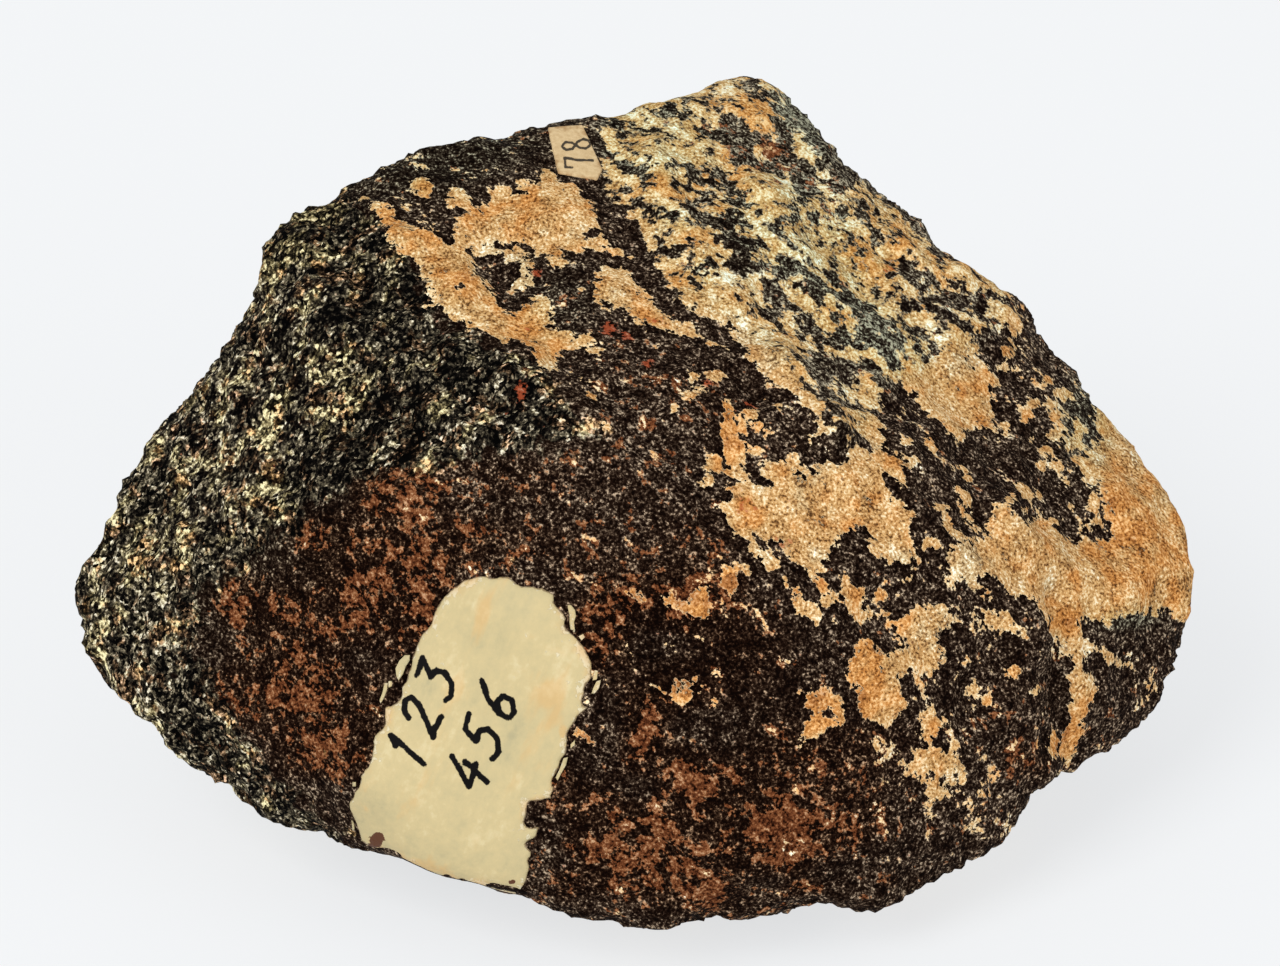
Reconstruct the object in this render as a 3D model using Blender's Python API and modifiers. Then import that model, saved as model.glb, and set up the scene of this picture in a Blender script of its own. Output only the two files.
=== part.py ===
"""A hand specimen of emery, with a painted number patch and a small paper tag on it.

Metres, +Z up. The specimen lies on its flat spot, with the origin on the resting plane under the
middle of its box. Its show side is drawn as it is seen from in front and above: each corner has its
place across and up that view, and how far it lies behind the nearest part of the stone. The hidden
side is drawn in the resting frame.
"""

import math

import bmesh
import bpy
from mathutils import Vector, geometry, noise
from mathutils.bvhtree import BVHTree

MM = 0.001

# The show view looks down by this angle, from this far in front of a plane through the specimen.
SHOW_ELEVATION = math.radians(30.0)
SHOW_DISTANCE = 570.0
SHOW_PLANE = 20.0
# The middle of the show view, over the resting plane.
SHOW_RISE = 39.5

# What is seen of the specimen ends at this outline: (across, up), in millimetres.
SHOW_OUTLINE = [
    (-45.3, -8.3),
    (-44.6, -6.2),
    (-42.6, -4.0),
    (-42.2, -1.1),
    (-40.0, 1.6),
    (-39.0, 3.9),
    (-36.8, 6.5),
    (-34.3, 9.8),
    (-30.9, 14.1),
    (-30.5, 20.2),
    (-27.8, 22.8),
    (-25.8, 21.8),
    (-23.6, 23.6),
    (-21.5, 24.4),
    (-17.7, 26.8),
    (-12.8, 27.9),
    (-9.6, 27.8),
    (-5.2, 29.4),
    (-1.4, 29.4),
    (0.4, 30.5),
    (4.0, 31.0),
    (5.6, 33.0),
    (9.0, 33.6),
    (12.6, 31.8),
    (13.2, 29.7),
    (17.5, 24.4),
    (21.3, 21.8),
    (24.8, 18.0),
    (26.8, 17.4),
    (28.6, 15.4),
    (30.9, 15.3),
    (32.8, 11.3),
    (35.0, 10.1),
    (36.6, 6.4),
    (39.4, 2.8),
    (42.1, -0.6),
    (43.7, -3.0),
    (44.3, -6.2),
    (43.8, -10.2),
    (42.4, -16.2),
    (41.1, -18.5),
    (37.3, -21.7),
    (34.0, -23.0),
    (32.5, -23.8),
    (30.1, -27.4),
    (26.7, -30.2),
    (22.8, -32.2),
    (19.6, -34.9),
    (15.5, -33.8),
    (11.5, -34.0),
    (9.2, -35.3),
    (6.0, -34.5),
    (1.8, -36.4),
    (-4.2, -35.0),
    (-10.2, -33.0),
    (-16.1, -31.6),
    (-19.9, -29.8),
    (-22.9, -29.5),
    (-24.7, -28.1),
    (-29.6, -27.1),
    (-31.8, -24.7),
    (-35.8, -23.3),
    (-37.4, -21.7),
    (-38.2, -19.4),
    (-42.9, -15.8),
    (-44.8, -12.7),
]
# The outline is cut through from in front of the specimen to behind it.
OUTLINE_FRONT = -20.0
OUTLINE_BACK = 90.0

# Corners of the main mass on the show side: (across, up, behind), in millimetres.
MAIN_SHOWN = [
    # Round its rim.
    (-45.6, -8.3, 20.0),
    (-43.2, -16.0, 20.0),
    (-38.5, -20.5, 19.0),
    (-32.5, -25.2, 17.0),
    (-25.0, -28.6, 13.0),
    (-16.3, -31.9, 9.0),
    (-4.5, -35.4, 6.5),
    (2.0, -36.3, 6.5),
    (19.5, -34.5, 10.0),
    (27.0, -30.6, 14.0),
    (31.6, -26.0, 17.5),
    (33.6, -22.6, 19.0),
    (31.6, 15.6, 37.0),
    (25.0, 18.6, 38.5),
    (21.6, 22.1, 39.5),
    (16.0, 26.6, 40.5),
    (13.4, 31.8, 41.0),
    (9.0, 34.6, 40.0),
    (4.8, 33.8, 37.5),
    (-5.5, 29.8, 31.0),
    (-12.8, 28.4, 27.5),
    (-18.0, 27.0, 25.0),
    (-24.0, 24.0, 22.0),
    (-30.2, 20.2, 20.0),
    (-40.4, 1.9, 20.0),
    (-42.8, -1.0, 20.5),
    # The fresh broken facet on the left, and the edge that it shares with the front.
    (-36.0, -12.6, 13.5),
    (-32.5, -20.0, 12.5),
    (-24.8, -1.4, 6.5),
    (-15.2, 2.4, 4.0),
    (-6.4, 5.0, 3.0),
    (-20.8, 22.0, 18.5),
    (-16.0, 14.6, 12.0),
    # The ridge that falls from the top to the right end.
    (-2.0, 26.0, 26.0),
    (4.0, 14.6, 14.5),
    (15.2, 4.2, 8.5),
    (24.8, -6.2, 9.0),
    (33.0, -10.4, 14.5),
    (33.8, -16.0, 14.5),
    # The broad front.
    (-22.0, -24.0, 6.0),
    (-9.0, -12.0, 0.6),
    (12.8, -9.4, 2.0),
    (4.8, -30.0, 2.5),
    (20.8, -26.0, 7.0),
]
# Corners of the main mass on the hidden side: (right, back, over the resting plane), in millimetres.
MAIN_HIDDEN = [
    (-20.0, 47.0, 35.0),
    (0.0, 53.5, 38.0),
    (14.0, 56.0, 31.0),
    (26.0, 51.0, 17.0),
    (-33.0, 39.0, 24.0),
    (-26.0, 48.0, 13.0),
    (2.0, 58.0, 10.0),
    (20.0, 54.5, 6.0),
    (-33.0, 28.0, 7.0),
    (32.0, 40.0, 8.0),
    # Round the spot that it rests on, which is cut off flat.
    (-11.0, 38.0, -1.5),
    (9.0, 39.0, -1.5),
    (-13.0, 13.0, -1.5),
    (14.0, 12.0, -1.5),
]
# Corners of the shoulder at the right end, which is parted from the main mass by a crease.
SHOULDER_SHOWN = [
    (34.0, -23.2, 23.0),
    (40.4, -19.6, 26.0),
    (42.8, -16.0, 27.0),
    (44.2, -10.6, 28.5),
    (44.6, -6.0, 30.0),
    (43.8, -2.6, 31.0),
    (39.6, 3.0, 33.5),
    (36.6, 6.8, 35.0),
    (31.4, 13.2, 37.0),
    (28.0, -4.0, 13.0),
    (34.5, -9.5, 17.0),
    (35.4, -18.0, 18.5),
    (39.6, -8.6, 21.0),
    (30.0, 6.0, 23.5),
]
SHOULDER_HIDDEN = [
    (34.0, 22.0, 1.5),
    (39.0, 34.0, 7.0),
    (36.0, 44.0, 13.0),
    (24.0, 30.0, 2.0),
]

# The skin of the stone is drawn in cells of this size, and its corners are rubbed down in passes.
SKIN_CELL = 0.8
RUBBING_PASSES = 3
RUBBING_FACTOR = 0.5

# Surface that turns from the show view by the first of these is on the hidden side, and surface that
# faces it by the second is on the show side.
SHOWN_START = -0.15
SHOWN_END = 0.25

# Streaks in the stone run down to the right by this angle, and break in steps that come and go.
STREAK_ANGLE = math.radians(42.0)
STEP_SPACING = 7.0
STEP_DEPTH = 0.85
STEP_WANDER = 3.2
STEP_WANDER_SPACING = 13.0
# Each step moves on by this share of the way behind the view's front.
STEP_LEAN = 0.25
# This share of a step climbs, and its height is counted from this level.
STEP_CLIMB = 0.3
STEP_LEVEL = 0.1
# Steps come and go with a pattern, between these values of it.
STEP_PATCH_SPACING = 10.0
STEP_PATCH_SHIFT = (5.5, 0.7, 9.1)
STEP_PATCH_START = -0.2
STEP_PATCH_END = 0.3
# Steps are deepest on the facet behind the ridge, and fade out to the left of it.
STEP_FADE_START = -8.0
STEP_FADE_END = 10.0
STEP_FADE_SHARE = 0.75

LUMP_SPACING = 16.0
LUMP_HEIGHT = 0.9
KNOB_SPACING = 6.5
KNOB_SHIFT = (7.3, 1.9, 4.4)
KNOB_HEIGHT = 0.6
CHIP_SPACING = 5.0
CHIP_LEVEL = 0.4
CHIP_DEPTH = 0.6
GRIT_SPACING = 2.6
GRIT_SHIFT = (2.1, 8.7, 3.2)
GRIT_HEIGHT = 0.35
# The relief is set this far in, so that it stays within the outline.
RELIEF_INSET = 0.15

# Ridges and grooves: points (across, up) along each, its half width and its height in millimetres.
RIDGES = [
    ([(1.0, 26.0), (4.5, 19.5), (8.8, 14.6), (12.6, 8.6), (15.8, 4.4)], 1.7, 1.0),
    ([(9.5, 23.0), (14.5, 15.5), (20.5, 9.5)], 1.6, 0.7),
    ([(20.0, 3.5), (25.5, -1.5), (31.0, -5.0)], 2.2, 0.7),
    ([(34.6, -10.5), (34.9, -16.5), (34.0, -22.4)], 1.2, 0.8),
    ([(-25.0, 14.0), (-18.5, 9.5), (-9.0, 8.0)], 1.8, 0.7),
    ([(33.4, -9.0), (33.9, -14.0), (33.2, -21.0)], 0.8, -1.3),
    ([(24.0, -6.4), (26.0, -8.0), (28.2, -10.4)], 0.9, -0.9),
    ([(-12.6, 18.6), (-8.2, 13.4), (-6.0, 9.6)], 1.3, -0.6),
    ([(2.8, 23.6), (6.4, 18.4), (11.0, 13.0)], 1.2, -0.7),
    ([(-38.5, 0.5), (-33.0, -3.5), (-30.5, -8.0)], 1.4, -0.6),
]

# The painted patch and the paper tag: (across, up) round each, in millimetres.
PATCH_OUTLINE = [
    (-13.8, -7.9),
    (-10.0, -7.6),
    (-7.6, -8.6),
    (-5.9, -10.6),
    (-4.0, -13.4),
    (-4.1, -17.0),
    (-5.6, -20.8),
    (-6.8, -23.8),
    (-7.1, -25.6),
    (-9.0, -26.4),
    (-8.4, -28.6),
    (-8.8, -31.4),
    (-9.8, -32.8),
    (-14.6, -31.8),
    (-18.4, -30.4),
    (-20.6, -29.4),
    (-21.9, -28.7),
    (-23.2, -26.4),
    (-22.8, -24.0),
    (-21.6, -22.2),
    (-20.9, -19.6),
    (-20.0, -17.6),
    (-18.4, -14.6),
    (-17.6, -12.4),
    (-15.8, -9.6),
]
TAG_OUTLINE = [
    (-7.4, 27.7),
    (-4.5, 28.1),
    (-3.0, 25.2),
    (-3.4, 24.2),
    (-6.7, 24.8),
]
PATCH_THICKNESS = 0.4
TAG_THICKNESS = 0.35
SKIN_GAP = 0.3
PATCH_CELL = 2.0
TAG_CELL = 1.2
# The stone is smoother under the patch and the tag, and close round them.
SMOOTH_MARGIN = 3.0
SMOOTH_LEFT = 0.25

STONE_TRIANGLES = 8800
# A corner this near a cut counts as lying on it.
CUT_TOLERANCE = 0.0001
# No ratio is taken over less than this.
SMALLEST_DIVISOR = 1e-6

# Each finish: its name, its colour and its roughness.
STONE_FINISH = ("weathered_emery", (0.045, 0.036, 0.030), 0.78)
PATCH_FINISH = ("cream_enamel", (0.74, 0.66, 0.45), 0.42)
TAG_FINISH = ("aged_paper", (0.55, 0.44, 0.28), 0.85)


def show_point(across, up, behind):
    """The place in the resting frame of a point of the show view, in metres."""
    spread = 1.0 + (behind - SHOW_PLANE) / SHOW_DISTANCE
    rise = up * spread
    sine, cosine = math.sin(SHOW_ELEVATION), math.cos(SHOW_ELEVATION)
    y = rise * sine + behind * cosine
    z = rise * cosine - behind * sine + SHOW_RISE
    return Vector((across * spread, y, z)) * MM


def show_place(point):
    """Where a point of the resting frame is in the show view, as across, up and behind in millimetres."""
    x, y, z = point / MM
    z -= SHOW_RISE
    sine, cosine = math.sin(SHOW_ELEVATION), math.cos(SHOW_ELEVATION)
    behind = y * cosine - z * sine
    spread = 1.0 + (behind - SHOW_PLANE) / SHOW_DISTANCE
    return x / spread, (y * sine + z * cosine) / spread, behind


def smooth_step(start, end, value):
    """0 before start, 1 after end, with a soft change between them."""
    share = min(max((value - start) / (end - start), 0.0), 1.0)
    return share * share * (3.0 - 2.0 * share)


def distance_to_line(points, across, up):
    """How far a place of the show view is from a line through the points."""
    place = Vector((across, up))
    nearest = math.inf
    for start, end in zip(points, points[1:]):
        _, share = geometry.intersect_point_line(place, Vector(start), Vector(end))
        share = min(max(share, 0.0), 1.0)
        foot = Vector(start).lerp(Vector(end), share)
        nearest = min(nearest, (place - foot).length)
    return nearest


def distance_inside(outline, across, up):
    """How far a place of the show view is inside a closed outline, and less than nothing outside it."""
    away = distance_to_line([*outline, outline[0]], across, up)
    crossings = 0
    for (start_across, start_up), (end_across, end_up) in zip(outline, [*outline[1:], outline[0]]):
        if (start_up > up) != (end_up > up):
            share = (up - start_up) / (end_up - start_up)
            crossings += across < start_across + share * (end_across - start_across)
    return away if crossings % 2 else -away


def new_object(name, mesh, collection):
    """An object of the mesh, in the collection."""
    obj = bpy.data.objects.new(name, mesh)
    collection.objects.link(obj)
    return obj


def hull_object(name, shown, hidden, collection):
    """The solid with flat facets that just holds the corners: shown in the show view, hidden in the frame."""
    bm = bmesh.new()
    for corner in shown:
        bm.verts.new(show_point(*corner))
    for corner in hidden:
        bm.verts.new(Vector(corner) * MM)
    made = bmesh.ops.convex_hull(bm, input=bm.verts)
    bmesh.ops.delete(bm, geom=made["geom_interior"], context="VERTS")
    mesh = bpy.data.meshes.new(name)
    bm.to_mesh(mesh)
    bm.free()
    return new_object(name, mesh, collection)


def outline_object(name, collection):
    """The room inside the show outline, from in front of the specimen to behind it."""
    bm = bmesh.new()
    front = bm.faces.new([bm.verts.new(show_point(*corner, OUTLINE_FRONT)) for corner in SHOW_OUTLINE])
    back = bmesh.ops.extrude_face_region(bm, geom=[front])["geom"]
    for vert in back:
        if isinstance(vert, bmesh.types.BMVert):
            across, up, _ = show_place(vert.co)
            vert.co = show_point(across, up, OUTLINE_BACK)
    bmesh.ops.recalc_face_normals(bm, faces=bm.faces)
    mesh = bpy.data.meshes.new(name)
    bm.to_mesh(mesh)
    bm.free()
    return new_object(name, mesh, collection)


def hide_helper(obj):
    """Keeps a helper out of renders, and draws it as wires."""
    obj.hide_render = True
    obj.display_type = "WIRE"


def evaluated_mesh(obj):
    """A mesh of the object with its modifiers applied."""
    graph = bpy.context.evaluated_depsgraph_get()
    return bpy.data.meshes.new_from_object(obj.evaluated_get(graph))


def rough_mass(collection):
    """The main mass and its shoulder joined, cut to the show outline and skinned in even cells."""
    main = hull_object("main_mass", MAIN_SHOWN, MAIN_HIDDEN, collection)
    shoulder = hull_object("shoulder_mass", SHOULDER_SHOWN, SHOULDER_HIDDEN, collection)
    room = outline_object("outline_room", collection)
    for operation, other in (("UNION", shoulder), ("INTERSECT", room)):
        boolean = main.modifiers.new(operation.lower(), "BOOLEAN")
        boolean.operation = operation
        boolean.solver = "EXACT"
        boolean.object = other
    skin = main.modifiers.new("skin", "REMESH")
    skin.mode = "VOXEL"
    skin.voxel_size = SKIN_CELL * MM
    bpy.context.view_layer.update()
    mesh = evaluated_mesh(main)
    for helper in (main, shoulder, room):
        hide_helper(helper)
    return mesh


def roughness_left(across, up):
    """How much of the fine relief is left at a place of the show side: less under the patch and tag."""
    inside = max(distance_inside(outline, across, up) for outline in (PATCH_OUTLINE, TAG_OUTLINE))
    return SMOOTH_LEFT + (1.0 - SMOOTH_LEFT) * smooth_step(0.0, SMOOTH_MARGIN, -inside)


def chip(point, spacing):
    """A pattern of shallow scallops with sharp edges between them, from 0 in their middles to 1."""
    near, _ = noise.voronoi(point / (spacing * MM), distance_metric="DISTANCE")
    return min(near[0] / max(near[1], SMALLEST_DIVISOR), 1.0)


def relief(point, normal):
    """How far the skin stands out at a point of it, in millimetres."""
    across, up, behind = show_place(point)
    facing = normal.z * math.sin(SHOW_ELEVATION) - normal.y * math.cos(SHOW_ELEVATION)
    shown = smooth_step(SHOWN_START, SHOWN_END, facing)
    kept = 1.0 - shown * (1.0 - roughness_left(across, up))

    height = LUMP_HEIGHT * noise.noise(point / (LUMP_SPACING * MM)) - RELIEF_INSET
    height += kept * KNOB_HEIGHT * noise.noise(point / (KNOB_SPACING * MM) + Vector(KNOB_SHIFT))
    height += kept * GRIT_HEIGHT * noise.noise(point / (GRIT_SPACING * MM) + Vector(GRIT_SHIFT))
    height += kept * CHIP_DEPTH * (chip(point, CHIP_SPACING) ** 2 - CHIP_LEVEL)

    wander = STEP_WANDER * noise.noise(point / (STEP_WANDER_SPACING * MM))
    along = across * math.sin(STREAK_ANGLE) + up * math.cos(STREAK_ANGLE) + STEP_LEAN * behind + wander
    step = along / STEP_SPACING % 1.0
    step_here = 1.0 - STEP_FADE_SHARE * shown * (1.0 - smooth_step(STEP_FADE_START, STEP_FADE_END, along))
    pattern = noise.noise(point / (STEP_PATCH_SPACING * MM) + Vector(STEP_PATCH_SHIFT))
    step_here *= smooth_step(STEP_PATCH_START, STEP_PATCH_END, pattern)
    height += kept * step_here * STEP_DEPTH * (smooth_step(0.0, STEP_CLIMB, step) - step - STEP_LEVEL)

    for points, half_width, rise in RIDGES:
        away = distance_to_line(points, across, up)
        height += shown * rise * math.exp(-((away / half_width) ** 2))
    return height


def crumbs(bm):
    """The corners of all loose bodies but the largest."""
    bodies = []
    left = set(bm.verts)
    while left:
        body = set()
        reached = {left.pop()}
        while reached:
            body |= reached
            reached = {edge.other_vert(vert) for vert in reached for edge in vert.link_edges} - body
        left -= body
        bodies.append(body)
    bodies.sort(key=len)
    return [vert for body in bodies[:-1] for vert in body]


def stone_object(collection, helpers):
    """The stone: its mass with its relief, thinned to a modest number of facets and cut flat to rest on."""
    mesh = rough_mass(helpers)
    bm = bmesh.new()
    bm.from_mesh(mesh)
    for _ in range(RUBBING_PASSES):
        bmesh.ops.smooth_vert(
            bm, verts=bm.verts, factor=RUBBING_FACTOR, use_axis_x=True, use_axis_y=True, use_axis_z=True
        )
    bm.normal_update()
    moves = [vert.normal * relief(vert.co, vert.normal) * MM for vert in bm.verts]
    for vert, move in zip(bm.verts, moves):
        vert.co += move
    bmesh.ops.triangulate(bm, faces=bm.faces)
    triangles = len(bm.faces)
    bm.to_mesh(mesh)
    bm.free()

    helper = new_object("rough_stone", mesh, helpers)
    thin = helper.modifiers.new("thin", "DECIMATE")
    thin.ratio = STONE_TRIANGLES / triangles
    bpy.context.view_layer.update()
    mesh = evaluated_mesh(helper)
    hide_helper(helper)

    bm = bmesh.new()
    bm.from_mesh(mesh)
    cut = bmesh.ops.bisect_plane(
        bm,
        geom=[*bm.verts, *bm.edges, *bm.faces],
        dist=CUT_TOLERANCE * MM,
        plane_co=(0.0, 0.0, 0.0),
        plane_no=(0.0, 0.0, 1.0),
        clear_inner=True,
    )
    rim = [edge for edge in cut["geom_cut"] if isinstance(edge, bmesh.types.BMEdge)]
    bmesh.ops.triangle_fill(bm, edges=rim, use_beauty=True, normal=(0.0, 0.0, -1.0))
    bmesh.ops.delete(bm, geom=crumbs(bm), context="VERTS")
    bmesh.ops.recalc_face_normals(bm, faces=bm.faces)
    bm.to_mesh(mesh)
    bm.free()
    mesh.name = "emery_stone"
    return new_object("emery_stone", mesh, collection)


def skin_object(name, outline, cell, thickness, stone, collection):
    """A thin skin on the show side of the stone, a small gap off it."""
    bm = bmesh.new()
    bm.faces.new([bm.verts.new((across, up, 0.0)) for across, up in outline])
    lows = [min(corner[axis] for corner in outline) for axis in (0, 1)]
    highs = [max(corner[axis] for corner in outline) for axis in (0, 1)]
    for axis in (0, 1):
        normal = Vector((1.0, 0.0, 0.0)) if axis == 0 else Vector((0.0, 1.0, 0.0))
        cuts = math.ceil((highs[axis] - lows[axis]) / cell)
        for cut in range(1, cuts):
            bmesh.ops.bisect_plane(
                bm,
                geom=[*bm.verts, *bm.edges, *bm.faces],
                dist=CUT_TOLERANCE * MM,
                plane_co=normal * (lows[axis] + cut * (highs[axis] - lows[axis]) / cuts),
                plane_no=normal,
            )
    bmesh.ops.triangulate(bm, faces=bm.faces)

    tree = BVHTree.FromPolygons(
        [vert.co for vert in stone.data.vertices], [face.vertices for face in stone.data.polygons]
    )
    outward = Vector((0.0, 0.0, 0.0))
    for vert in bm.verts:
        start = show_point(vert.co.x, vert.co.y, OUTLINE_FRONT)
        ray = show_point(vert.co.x, vert.co.y, OUTLINE_BACK) - start
        place, normal, _, _ = tree.ray_cast(start, ray.normalized())
        vert.co = place
        outward += normal
    outward.normalize()
    for vert in bm.verts:
        vert.co += outward * SKIN_GAP * MM
    top = bmesh.ops.extrude_face_region(bm, geom=bm.faces[:])["geom"]
    raised = [vert for vert in top if isinstance(vert, bmesh.types.BMVert)]
    bmesh.ops.translate(bm, vec=outward * thickness * MM, verts=raised)
    bmesh.ops.recalc_face_normals(bm, faces=bm.faces)
    mesh = bpy.data.meshes.new(name)
    bm.to_mesh(mesh)
    bm.free()
    return new_object(name, mesh, collection)


def give_material(obj, name, colour, roughness):
    """One plain finish over the whole object."""
    material = bpy.data.materials.new(name)
    material.use_nodes = True
    shader = material.node_tree.nodes["Principled BSDF"]
    shader.inputs["Base Color"].default_value = (*colour, 1.0)
    shader.inputs["Roughness"].default_value = roughness
    shader.inputs["Metallic"].default_value = 0.0
    obj.data.materials.clear()
    obj.data.materials.append(material)


def centre_on_box(objects, guide):
    """Moves the meshes so that the guide's box is centred over the origin."""
    corners = [vert.co for vert in guide.data.vertices]
    for axis in (0, 1):
        middle = (min(corner[axis] for corner in corners) + max(corner[axis] for corner in corners)) / 2
        for obj in objects:
            for vert in obj.data.vertices:
                vert.co[axis] -= middle


def main():
    """Builds the stone, the painted patch and the paper tag, and centres them on the stone."""
    for obj in list(bpy.data.objects):
        bpy.data.objects.remove(obj)
    specimen = bpy.data.collections.new("emery_specimen")
    helpers = bpy.data.collections.new("helpers")
    bpy.context.scene.collection.children.link(specimen)
    bpy.context.scene.collection.children.link(helpers)

    stone = stone_object(specimen, helpers)
    patch = skin_object("number_patch", PATCH_OUTLINE, PATCH_CELL, PATCH_THICKNESS, stone, specimen)
    tag = skin_object("paper_tag", TAG_OUTLINE, TAG_CELL, TAG_THICKNESS, stone, specimen)
    centre_on_box([stone, patch, tag], stone)

    give_material(stone, *STONE_FINISH)
    give_material(patch, *PATCH_FINISH)
    give_material(tag, *TAG_FINISH)


main()
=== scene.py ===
"""The looks of a hand specimen of emery, lying on its flat spot in plain studio light.

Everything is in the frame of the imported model. The stone's markings are laid out in the show view,
in pixels of a frame 1280 wide and 966 high. Each is a measure that is kept at the stone's own points,
so that the markings stay on the stone from every side, and the hidden side has markings of its own.
"""

import logging
import math
from dataclasses import dataclass, field
from enum import Enum

import bmesh
import bpy
import numpy as np
from mathutils import Matrix, Vector, noise
from mathutils.bvhtree import BVHTree


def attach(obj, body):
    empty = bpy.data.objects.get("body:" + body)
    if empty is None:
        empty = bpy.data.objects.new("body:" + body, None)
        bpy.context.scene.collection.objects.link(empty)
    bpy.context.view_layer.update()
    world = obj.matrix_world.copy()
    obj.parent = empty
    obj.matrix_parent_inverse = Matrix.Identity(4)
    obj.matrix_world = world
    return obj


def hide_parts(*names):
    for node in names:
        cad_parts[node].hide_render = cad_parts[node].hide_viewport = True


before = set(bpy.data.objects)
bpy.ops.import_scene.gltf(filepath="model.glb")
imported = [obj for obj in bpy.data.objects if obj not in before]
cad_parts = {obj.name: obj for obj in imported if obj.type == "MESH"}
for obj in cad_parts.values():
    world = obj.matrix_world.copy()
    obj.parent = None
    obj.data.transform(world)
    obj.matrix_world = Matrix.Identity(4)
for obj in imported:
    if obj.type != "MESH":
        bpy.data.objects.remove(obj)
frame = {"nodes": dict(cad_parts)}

MM = 0.001
LOG = logging.getLogger("emery_specimen")
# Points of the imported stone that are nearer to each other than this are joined, in millimetres.
WELD = 0.001
# How near a cut through a skin's flat grid a point counts as on it, in pixels.
CUT_SNAP = 0.0001
# Which share of the way to a skin's middle a point moves in when it misses the stone.
INWARD_STEP = 0.01
# The layers of fractal noise, and how much finer each is than the one before.
OCTAVES = 3
LACUNARITY = 2.0
# How a cloud's offset is spread over the three axes.
CLOUD_SHIFT = (1.0, 1.7, 0.6)
# How many steps of a skin's ragged rim there are to a pixel.
RIM_GRAIN = 0.11
# How long a scale of colours is: half of it lies below nothing.
SCALE_LENGTH = 5.0

Socket = bpy.types.NodeSocket
Colour = tuple[float, float, float]
Corners = list[tuple[float, float]]
Scale = tuple[tuple[float, Colour], ...]


def smooth_step(start: float, end: float, value: np.ndarray) -> np.ndarray:
    """0 before start, 1 after end, with a soft change between them."""
    share = np.clip((value - start) / (end - start), 0.0, 1.0)
    return share * share * (3.0 - 2.0 * share)


def unit(vector: np.ndarray) -> np.ndarray:
    """The vector at a length of one."""
    return vector / np.linalg.norm(vector)


@dataclass(frozen=True)
class ShowView:
    """The view that the specimen is shown in. It looks back and down at the numbered face.

    Attributes:
        elevation: How far down the view looks, in degrees.
        distance: From the eye to the plane through the specimen where a pixel has its stated size.
        plane: How far behind the view's middle that plane is.
        middle: The middle of the view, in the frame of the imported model.
        pixel: The size of a pixel.
        frame: The frame's width and height, in pixels.
        Lengths are in millimetres.
    """

    elevation: float = 30.0
    distance: float = 570.0
    plane: float = 20.0
    middle: tuple[float, float, float] = (-0.004, -22.753, 39.5)
    pixel: float = 0.08
    frame: tuple[int, int] = (1280, 966)

    def axes(self) -> np.ndarray:
        """Unit vectors across the view, up it and into it, as rows."""
        sine, cosine = math.sin(math.radians(self.elevation)), math.cos(math.radians(self.elevation))
        return np.array([(1.0, 0.0, 0.0), (0.0, sine, cosine), (0.0, cosine, -sine)])

    def places(self, points: np.ndarray) -> np.ndarray:
        """Where points of the model are seen.

        Args:
            points: Points in millimetres, one a row.

        Returns:
            Their pixels, counted right and down from the frame's corner, one pair a row.
        """
        across, up, behind = ((points - np.array(self.middle)) @ self.axes().T).T
        spread = (1.0 + (behind - self.plane) / self.distance) * self.pixel
        return np.stack([self.frame[0] / 2 + across / spread, self.frame[1] / 2 - up / spread], axis=-1)

    def point(self, right: float, down: float, behind: float) -> Vector:
        """The point of the model, in metres, that is seen at a pixel and lies this far behind."""
        spread = (1.0 + (behind - self.plane) / self.distance) * self.pixel
        across, up = (right - self.frame[0] / 2) * spread, (self.frame[1] / 2 - down) * spread
        return Vector((np.array(self.middle) + np.array([across, up, behind]) @ self.axes()) * MM)

    def eye(self) -> Vector:
        """The place of the eye, in metres."""
        return self.point(self.frame[0] / 2, self.frame[1] / 2, self.plane - self.distance)


SHOW = ShowView()


def across_show(turn: float) -> np.ndarray:
    """The direction in the model that is seen turned up this far from level, in degrees."""
    return unit(np.array([math.cos(math.radians(turn)), math.sin(math.radians(turn)), 0.0]) @ SHOW.axes())


# The shards of the fresh break lean up to the right, and the streaks of the stone run down to the right.
SHARD_LEAN = across_show(62.0)
STREAK_RUN = across_show(-41.0)


@dataclass(frozen=True)
class Outline:
    """A closed outline in the show view, in pixels."""

    corners: Corners

    def inside(self, places: np.ndarray) -> np.ndarray:
        """How far places of the view lie inside the outline.

        Args:
            places: Pixels, one pair a row.

        Returns:
            The distance to the outline in millimetres, and less than nothing outside it.
        """
        nearest = np.full(len(places), np.inf)
        crossings = np.zeros(len(places), dtype=int)
        corners = np.array(self.corners, dtype=float)
        for start, end in zip(corners, np.roll(corners, -1, axis=0)):
            along = end - start
            share = np.clip((places - start) @ along / (along @ along), 0.0, 1.0)
            nearest = np.minimum(nearest, np.linalg.norm(places - start - share[:, None] * along, axis=1))
            if start[1] != end[1]:
                level = (places[:, 1] < start[1]) != (places[:, 1] < end[1])
                reach = start[0] + (places[:, 1] - start[1]) / along[1] * along[0]
                crossings += level & (places[:, 0] < reach)
        return np.where(crossings % 2 == 1, nearest, -nearest) * SHOW.pixel


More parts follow.
